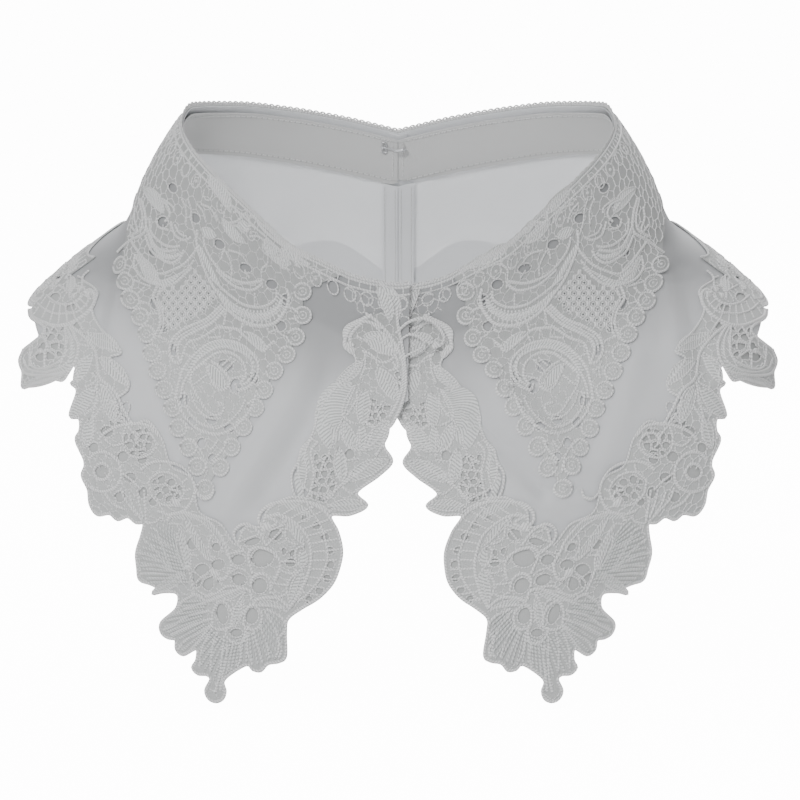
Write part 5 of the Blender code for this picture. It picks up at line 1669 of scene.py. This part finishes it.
class COLLAR_OT_plackets(bpy.types.Operator):
    """Turns in the centre back edges"""

    bl_idname = "collar.plackets"
    bl_label = "Back plackets"

    def execute(self, context):
        top = BAND_DROP + BAND_HEIGHT + 0.6
        bottom = BACK_LENGTH - LEAF_SHORT - 2.0
        for word, side in SIDES:
            runs = np.linspace(top, bottom, 30)
            edge = np.stack((np.full(30, BACK_EDGE), runs), axis=-1)
            fold = np.stack((BACK_EDGE - PLACKET_WIDTH / across_slit(runs), runs), axis=-1)[::-1]
            cut = filled([flat(np.concatenate((edge, fold)))], [], 2.5)
            low = -LEAF_WALL - 0.7
            made = shell(f"placket_cloth_{word}", side, *cut, low - 0.6, low, chiffon_look())
            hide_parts(f"placket_{word}")
            parts = [self.underlap(bottom)] if side < 0 else []
        return {"FINISHED"}

    def underlap(self, bottom):
        """A narrow strip behind the slit, under both back edges."""
        runs = np.linspace(0.6, bottom, 60)
        layers = []
        for lift in (-0.55, -0.85):
            for across in np.linspace(-UNDERLAP / 2, UNDERLAP / 2, 7):
                line = on_leaf(-1, math.pi - abs(across) / across_slit(runs), runs, lift)
                layers.append(line * (-1 if across > 0 else 1, 1, 1))
        behind = PATTERN_RADIUS * math.pi
        pattern = [(behind + column * 1.5, run) for column in range(7) for run in runs] * 2
        faces = slab_faces(7, len(runs))
        made = sewn_object("slit_underlap", np.concatenate(layers), faces, pattern, chiffon_look())
        return made


class COLLAR_OT_front_edging(bpy.types.Operator):
    """Sews the lace edging round the fronts"""

    bl_idname = "collar.front_edging"
    bl_label = "Front edging"

    def execute(self, context):
        cells = open_gaps(LACE_GAPS, EDGE_NETS, EDGE_LEAVES, 4)
        for i in range(CRESCENT_CELLS):
            turn = math.radians(CRESCENT_FIRST + i * CRESCENT_STEP)
            across = CRESCENT_CENTRE[0] - CRESCENT_CELL_RADIUS * math.cos(turn)
            down = CRESCENT_CENTRE[1] + CRESCENT_CELL_RADIUS * math.sin(turn)
            cells.append(oval(across, down, *CRESCENT_CELL_HALF, -math.degrees(turn), count=8))
        seam = math.radians(SHOULDER_ANGLE)
        shoulder = flat([(seam, 94.0), (seam, back_hem(SHOULDER_ANGLE))])
        width, height = main_cord()
        for word, side in SIDES:
            outer = seen_point(side, curved(LACE_OUTER, 1.5))
            inner = seen_point(side, curved(LACE_INNER, 1.5))
            gaps = [seen_point(side, cell) for cell in cells]
            outline = np.concatenate((outer, inner, shoulder))
            made = lace_ground(f"edging_{word}", side, [outline], gaps)
            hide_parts(f"front_lace_{word}")
            net = shell(f"edging_net_{word}", side, *filled([outline], [], 4.0), 0.08, 0.25, net_look())
            work = Threadwork(side, outline)
            work.cord(outer, width * 1.25, height)
            work.cord(inner, width, height)
            work.rims(gaps)
            work.motifs(seen_point, EDGE_CORDS, EDGE_LEAVES, EDGE_RIBS, EDGE_SATIN, EDGE_BEADS)
            for row in PETAL_RIBS:
                work.ribs(seen_point, *row, width=1.2, height=0.9, finish=1)
            work.net(outline, 5.0, 21, [seen_point(side, net_outline) for net_outline, _ in EDGE_NETS] + gaps)
            cords = work.object(f"edging_cords_{word}")
        return {"FINISHED"}


class COLLAR_OT_back_edging(bpy.types.Operator):
    """Sews the lace edging round the back hem"""

    bl_idname = "collar.back_edging"
    bl_label = "Back edging"

    def execute(self, context):
        start = SHOULDER_ANGLE + 0.1
        angles = np.linspace(start, BACK_EDGE_DEGREES, 200)
        hem = flat([(math.radians(a), back_hem(a)) for a in angles])
        inner = flat([
            (math.radians(a), BACK_LACE_TOP + BACK_LACE_WAVE * math.cos(math.radians(a * 12)))
            for a in angles[::-1]
        ])
        outline = np.concatenate((hem, inner))
        step = (BACK_EDGE_DEGREES - start) / BACK_SCALLOP_COUNT
        middles = [start + (i + 0.5) * step for i in range(BACK_SCALLOP_COUNT)]
        gaps = [
            oval(math.radians(middle + turn * step) * PATTERN_RADIUS, run, half_width, half_height)
            for middle in middles
            for turn, run, half_width, half_height in BACK_GAPS
        ]
        for word, side in SIDES:
            made = lace_ground(f"back_edging_{word}", side, [outline], gaps)
            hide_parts(f"back_lace_{word}")
            work = Threadwork(side)
            for line in (hem, inner):
                work.cord(line, *main_cord())
            work.rims(gaps)
            for middle in middles:
                shift = (math.radians(middle) * PATTERN_RADIUS, back_hem(middle, smooth=True) - BACK_LENGTH)

                def scallop(_, points, shift=shift):
                    return np.array(points, float) + shift

                work.motifs(scallop, BACK_CORDS, BACK_LEAVES, BACK_RIBS, (), BACK_BEADS)
            work.net(outline, 6.0, 23, gaps)
            cords = work.object(f"back_edging_cords_{word}")
        return {"FINISHED"}


class COLLAR_OT_panels(bpy.types.Operator):
    """Sews the pointed lace panels and the strip along the neckline"""

    bl_idname = "collar.panels"
    bl_label = "Lace panels"

    def execute(self, context):
        width, height = main_cord()
        back = BACK_EDGE_DEGREES
        neck = [(math.radians(a), 0.0) for a in np.linspace(14, back, 120)]
        strip = [
            (math.radians(a), NECK_STRIP_DEPTH - NECK_STRIP_SCALLOP * math.cos(math.radians((180 - a) * 38)))
            for a in np.linspace(back, 104, 90)
        ]
        upper = flat(neck + strip + [(math.radians(96), 24.0), (math.radians(88), 46.0)])
        lines = (PANEL_SHOULDER_STRING, PANEL_FRONT_STRING)
        centres = PANEL_SHOULDER_STRING + PANEL_FRONT_STRING
        ring_size = (PANEL_RING_RADIUS, PANEL_RING_RADIUS)
        knots = net_seeds(PANEL_KNOTS, KNOT_SPACING)
        cells = open_gaps(PANEL_GAPS, (), PANEL_LEAVES, 9)
        lower = inside(np.array(PANEL_KNOTS, float), knots + (0, 2.6))
        cells += [oval(x, y + KNOT_SPACING * 0.6, 0.75, 0.85, count=8) for x, y in knots[lower]]
        for word, side in SIDES:
            strings = [seen_panel(side, curved(line, 2.0)) for line in lines]
            body = np.concatenate((*strings, upper))
            rings = [seen_panel(side, oval(*centre, *ring_size, count=20)) for centre in centres]
            gaps = [seen_panel(side, cell) for cell in cells]
            made = lace_ground(f"lace_panel_{word}", side, [body] + rings, gaps)
            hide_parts(f"panel_{word}")
            work = Threadwork(side)
            for ring in rings:
                work.cord(ring, width, height, closed=True)
            for centre in centres:
                work.cord(seen_panel(side, oval(*centre, 1.9, 1.9, count=10)), 0.7, 0.45, closed=True)
                work.bead(seen_panel, *centre, 0.7)
            work.rims(gaps)
            work.motifs(seen_panel, PANEL_CORDS, PANEL_LEAVES, PANEL_RIBS, PANEL_SATIN)
            for across, down in knots:
                work.bead(seen_panel, across, down, 1.5)
                for step in (-1, 1):
                    bar = ((across, down), (across + step * KNOT_SPACING / 2, down + KNOT_SPACING * 0.6))
                    work.cord(seen_panel(side, closely(bar, 1.5, closed=False)), 0.8, 0.5)
            work.net(body, 5.4, 22, gaps + [seen_panel(side, PANEL_KNOTS)])
            neckline_threads(work)
            cords = work.object(f"lace_panel_cords_{word}")
        return {"FINISHED"}


def half_round(name, stitches, width, height):
    """Short threads that lie on a surface along 3-D lines, each given with the surface's normals."""
    vertices, faces, grain = [], [], []
    for line, normal in stitches:
        sideways = np.cross(np.gradient(line, axis=0), normal)
        sideways /= np.linalg.norm(sideways, axis=1, keepdims=True)
        faces += rope_faces(len(vertices), len(line), len(CORD_SECTION))
        for across, up in CORD_SECTION:
            vertices += list(line + sideways * (across * width / 2) + normal * (up * height))
            grain += [(distance, across) for distance in distances(line) / MM]
    return sewn_object(name, np.array(vertices), faces, grain, cord_look(), 70)


def dashes(place, total, length=2.1, gap=0.9):
    """Stitches along a line: place gives points and normals at distances in millimetres."""
    return [
        place(np.linspace(begin, begin + length, 4)) for begin in np.arange(1.0, total - length, length + gap)
    ]


def band_inside(across_angle, run, clear=0.0):
    """Points and inward normals on the band's inner face; the angle is negative on the wearer's right."""
    size = np.abs(across_angle)
    back = LAP_DEPTH * (1 - soft_step(np.degrees(size), *LAP_FADE))
    lift = -LEAF_WALL - BAND_GAP - back - BAND_WALL
    mirror = np.stack((-np.sign(across_angle), np.ones(len(size)), np.ones(len(size))), axis=-1)
    here = on_leaf(-1, size, run, lift - clear) * mirror
    deeper = on_leaf(-1, size, run, lift - clear - 1.0) * mirror
    normal = deeper - here
    return here, normal / np.linalg.norm(normal, axis=1, keepdims=True)


class COLLAR_OT_stitching(bpy.types.Operator):
    """Runs the topstitching of the neckband and the plackets"""

    bl_idname = "collar.stitching"
    bl_label = "Topstitching"

    def execute(self, context):
        stitches = []
        end = BACK_EDGE - math.radians(1.3)
        angles = np.linspace(-end, end, 1200)
        for run in SEAM_RUNS:
            along = distances(band_inside(angles, np.full(len(angles), run))[0]) / MM

            def place(at, run=run, along=along):
                return band_inside(np.interp(at, along, angles), np.full(len(at), run), -0.12)

            stitches += dashes(place, along[-1])
        for edge in (-1, 1):

            def place(at, edge=edge):
                return band_inside(np.full(len(at), edge * end), BAND_DROP + 2.2 + at, -0.12)

            stitches += dashes(place, BAND_HEIGHT - 5)
        made = half_round("band_stitches", stitches, 0.8 * MM, 0.32 * MM)
        stitches = []
        top, bottom = BAND_DROP + BAND_HEIGHT + 1.6, BACK_LENGTH - LEAF_SHORT - 3.0
        for _, side in SIDES:
            for inset in (1.3, PLACKET_WIDTH - 1.3):

                def place(at, side=side, inset=inset):
                    runs = top + at
                    angle = BACK_EDGE - inset / across_slit(runs)
                    here = on_leaf(side, angle, runs, -LEAF_WALL - 1.26)
                    normal = on_leaf(side, angle, runs, -LEAF_WALL - 2.3) - here
                    return here, normal / np.linalg.norm(normal, axis=1, keepdims=True)

                stitches += dashes(place, bottom - top)
        made = half_round("placket_stitches", stitches, 0.5 * MM, 0.25 * MM)
        return {"FINISHED"}


def tube(name, paths, radius, look, sides=12):
    """Round wires through smooth paths in millimetres, with closed ends."""
    vertices, faces, grain = [], [], []
    for path in paths:
        forward = np.gradient(path, axis=0)
        forward /= np.linalg.norm(forward, axis=1, keepdims=True)
        up = np.array((0.0, 0.0, 1.0))
        if abs(forward[0] @ up) > 0.9:
            up = np.array((1.0, 0.0, 0.0))
        upright = []
        for ahead in forward:
            up = up - ahead * (up @ ahead)
            up /= np.linalg.norm(up)
            upright.append(up)
        upright = np.array(upright)
        sideways = np.cross(forward, upright)
        faces += rope_faces(len(vertices), len(path), sides)
        for turn in np.arange(sides) * 2 * math.pi / sides:
            vertices += list((path + (upright * math.cos(turn) + sideways * math.sin(turn)) * radius) * MM)
            grain += [(i * 0.3, turn) for i in range(len(path))]
    made = sewn_object(name, np.array(vertices), faces, grain, look, 50)
    return made


def on_band(across, run, clear):
    """A point in millimetres inside the band at the centre back, by distance across from the slit."""
    angle = math.pi - abs(across) / NECK_HALF_WIDTH
    lift = -LEAF_WALL - BAND_GAP - BAND_WALL - clear
    point = on_leaf(-1, np.array(angle), np.array(float(run)), lift) / MM
    return np.array((math.copysign(1, across) * abs(point[0]), point[1], point[2]))


class COLLAR_OT_fastening(bpy.types.Operator):
    """Bends the wire hook and works the thread bar at the centre back"""

    bl_idname = "collar.fastening"
    bl_label = "Hook and bar"

    def execute(self, context):
        paths = [curved([on_band(across, HOOK_RUN, clear) for across, clear in HOOK_PATH], steps=6)]
        sewing = []
        for run in (HOOK_RUN - EYE_OFFSET, HOOK_RUN + EYE_OFFSET):
            paths.append(np.array([
                on_band(HOOK_BACK - EYE_RADIUS * math.cos(t), run + EYE_RADIUS * math.sin(t), 0.7)
                for t in np.linspace(0.5, 2 * math.pi - 0.5, 22)
            ]))
            for across in (HOOK_BACK - 0.7, HOOK_BACK, HOOK_BACK + 0.7):
                loop = [on_band(across, run + down, clear) for down, clear in SEWING_LOOP]
                sewing.append(curved(loop, steps=4))
        made = tube("hook_wire", paths, 0.45, metal_look())
        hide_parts("hook")
        core = curved([on_band(BAR_ACROSS, HOOK_RUN + run, clear) for run, clear in BAR_PATH], steps=10)
        twists = []
        for phase in (0, math.pi):
            turn = np.linspace(0, 9 * math.pi, len(core)) + phase
            twists.append(core + np.stack((0.16 * np.cos(turn), 0.16 * np.sin(turn), 0 * turn), axis=-1))
        made = tube("bar_thread", twists, 0.18, cord_look(), 8)
        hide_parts("thread_bar")
        tube("hook_sewing", sewing, 0.16, cord_look(), 6)
        return {"FINISHED"}


class COLLAR_OT_studio(bpy.types.Operator):
    """Sets the floor, the soft lights and the camera"""

    bl_idname = "collar.studio"
    bl_label = "Studio"

    def execute(self, context):
        scene = context.scene
        mesh = bpy.data.meshes.new("studio_floor")
        level = CAD_BOX[0][2] - FLOOR_DROP
        corners = [(x * FLOOR_HALF, y * FLOOR_HALF, level) for x, y in ((-1, -1), (1, -1), (1, 1), (-1, 1))]
        mesh.from_pydata(corners, [], [(0, 1, 2, 3)])
        mesh.materials.append(floor_look())
        floor = self.added(scene, "studio_floor", mesh)
        world = bpy.data.worlds.new("studio_air")
        world.use_nodes = True
        tree = world.node_tree
        backdrop = tree.nodes["Background"]
        backdrop.inputs["Color"].default_value = (1, 1, 1, 1)
        seen = node(tree, "ShaderNodeLightPath").outputs["Is Camera Ray"]
        feed(tree, backdrop.inputs["Strength"], maths(tree, "MULTIPLY_ADD", seen, AIR_SEEN, AIR_LIGHT))
        scene.world = world
        for name, place, side_length, power in LIGHTS:
            data = bpy.data.lights.new(name, "AREA")
            data.energy = power
            data.size = side_length
            self.aimed(self.added(scene, name, data), Vector(place), Vector((0, 0, -0.09)))
        data = bpy.data.cameras.new("photo_camera")
        data.lens = 135
        data.sensor_width = 36
        scene.camera = self.added(scene, "photo_camera", data)
        aim = Vector((0.001, 0.0, SEEN_TARGET_HEIGHT * MM))
        reach = SEEN_FROM * MM
        away = Vector((0, -reach * math.cos(SEEN_TILT), reach * math.sin(SEEN_TILT)))
        self.aimed(scene.camera, aim + away, aim)
        return {"FINISHED"}

    def added(self, scene, name, data):
        made = bpy.data.objects.new(name, data)
        scene.collection.objects.link(made)
        return made

    def aimed(self, made, place, target):
        """Puts a light or camera in its place, turned to its target."""
        made.location = place
        made.rotation_euler = (target - place).to_track_quat("-Z", "Y").to_euler()


class COLLAR_PT_sidebar(bpy.types.Panel):
    bl_label = "False collar"
    bl_idname = "COLLAR_PT_sidebar"
    bl_space_type = "VIEW_3D"
    bl_region_type = "UI"
    bl_category = "Collar"

    def draw(self, context):
        layout = self.layout
        for key in CollarSettings.__annotations__:
            layout.prop(context.scene.false_collar, key)
        for piece in PIECES:
            layout.operator(piece.bl_idname)


PIECES = (
    COLLAR_OT_leaves,
    COLLAR_OT_neckband,
    COLLAR_OT_plackets,
    COLLAR_OT_front_edging,
    COLLAR_OT_back_edging,
    COLLAR_OT_panels,
    COLLAR_OT_stitching,
    COLLAR_OT_fastening,
    COLLAR_OT_studio,
)


def register():
    bpy.utils.register_class(CollarSettings)
    for piece in PIECES:
        bpy.utils.register_class(piece)
    bpy.utils.register_class(COLLAR_PT_sidebar)
    bpy.types.Scene.false_collar = bpy.props.PointerProperty(type=CollarSettings)


def unregister():
    del bpy.types.Scene.false_collar
    bpy.utils.unregister_class(COLLAR_PT_sidebar)
    for piece in reversed(PIECES):
        bpy.utils.unregister_class(piece)
    bpy.utils.unregister_class(CollarSettings)


def main():
    register()
    for piece in PIECES:
        group, name = piece.bl_idname.split(".")
        getattr(getattr(bpy.ops, group), name)()


if __name__ == "__main__":
    main()
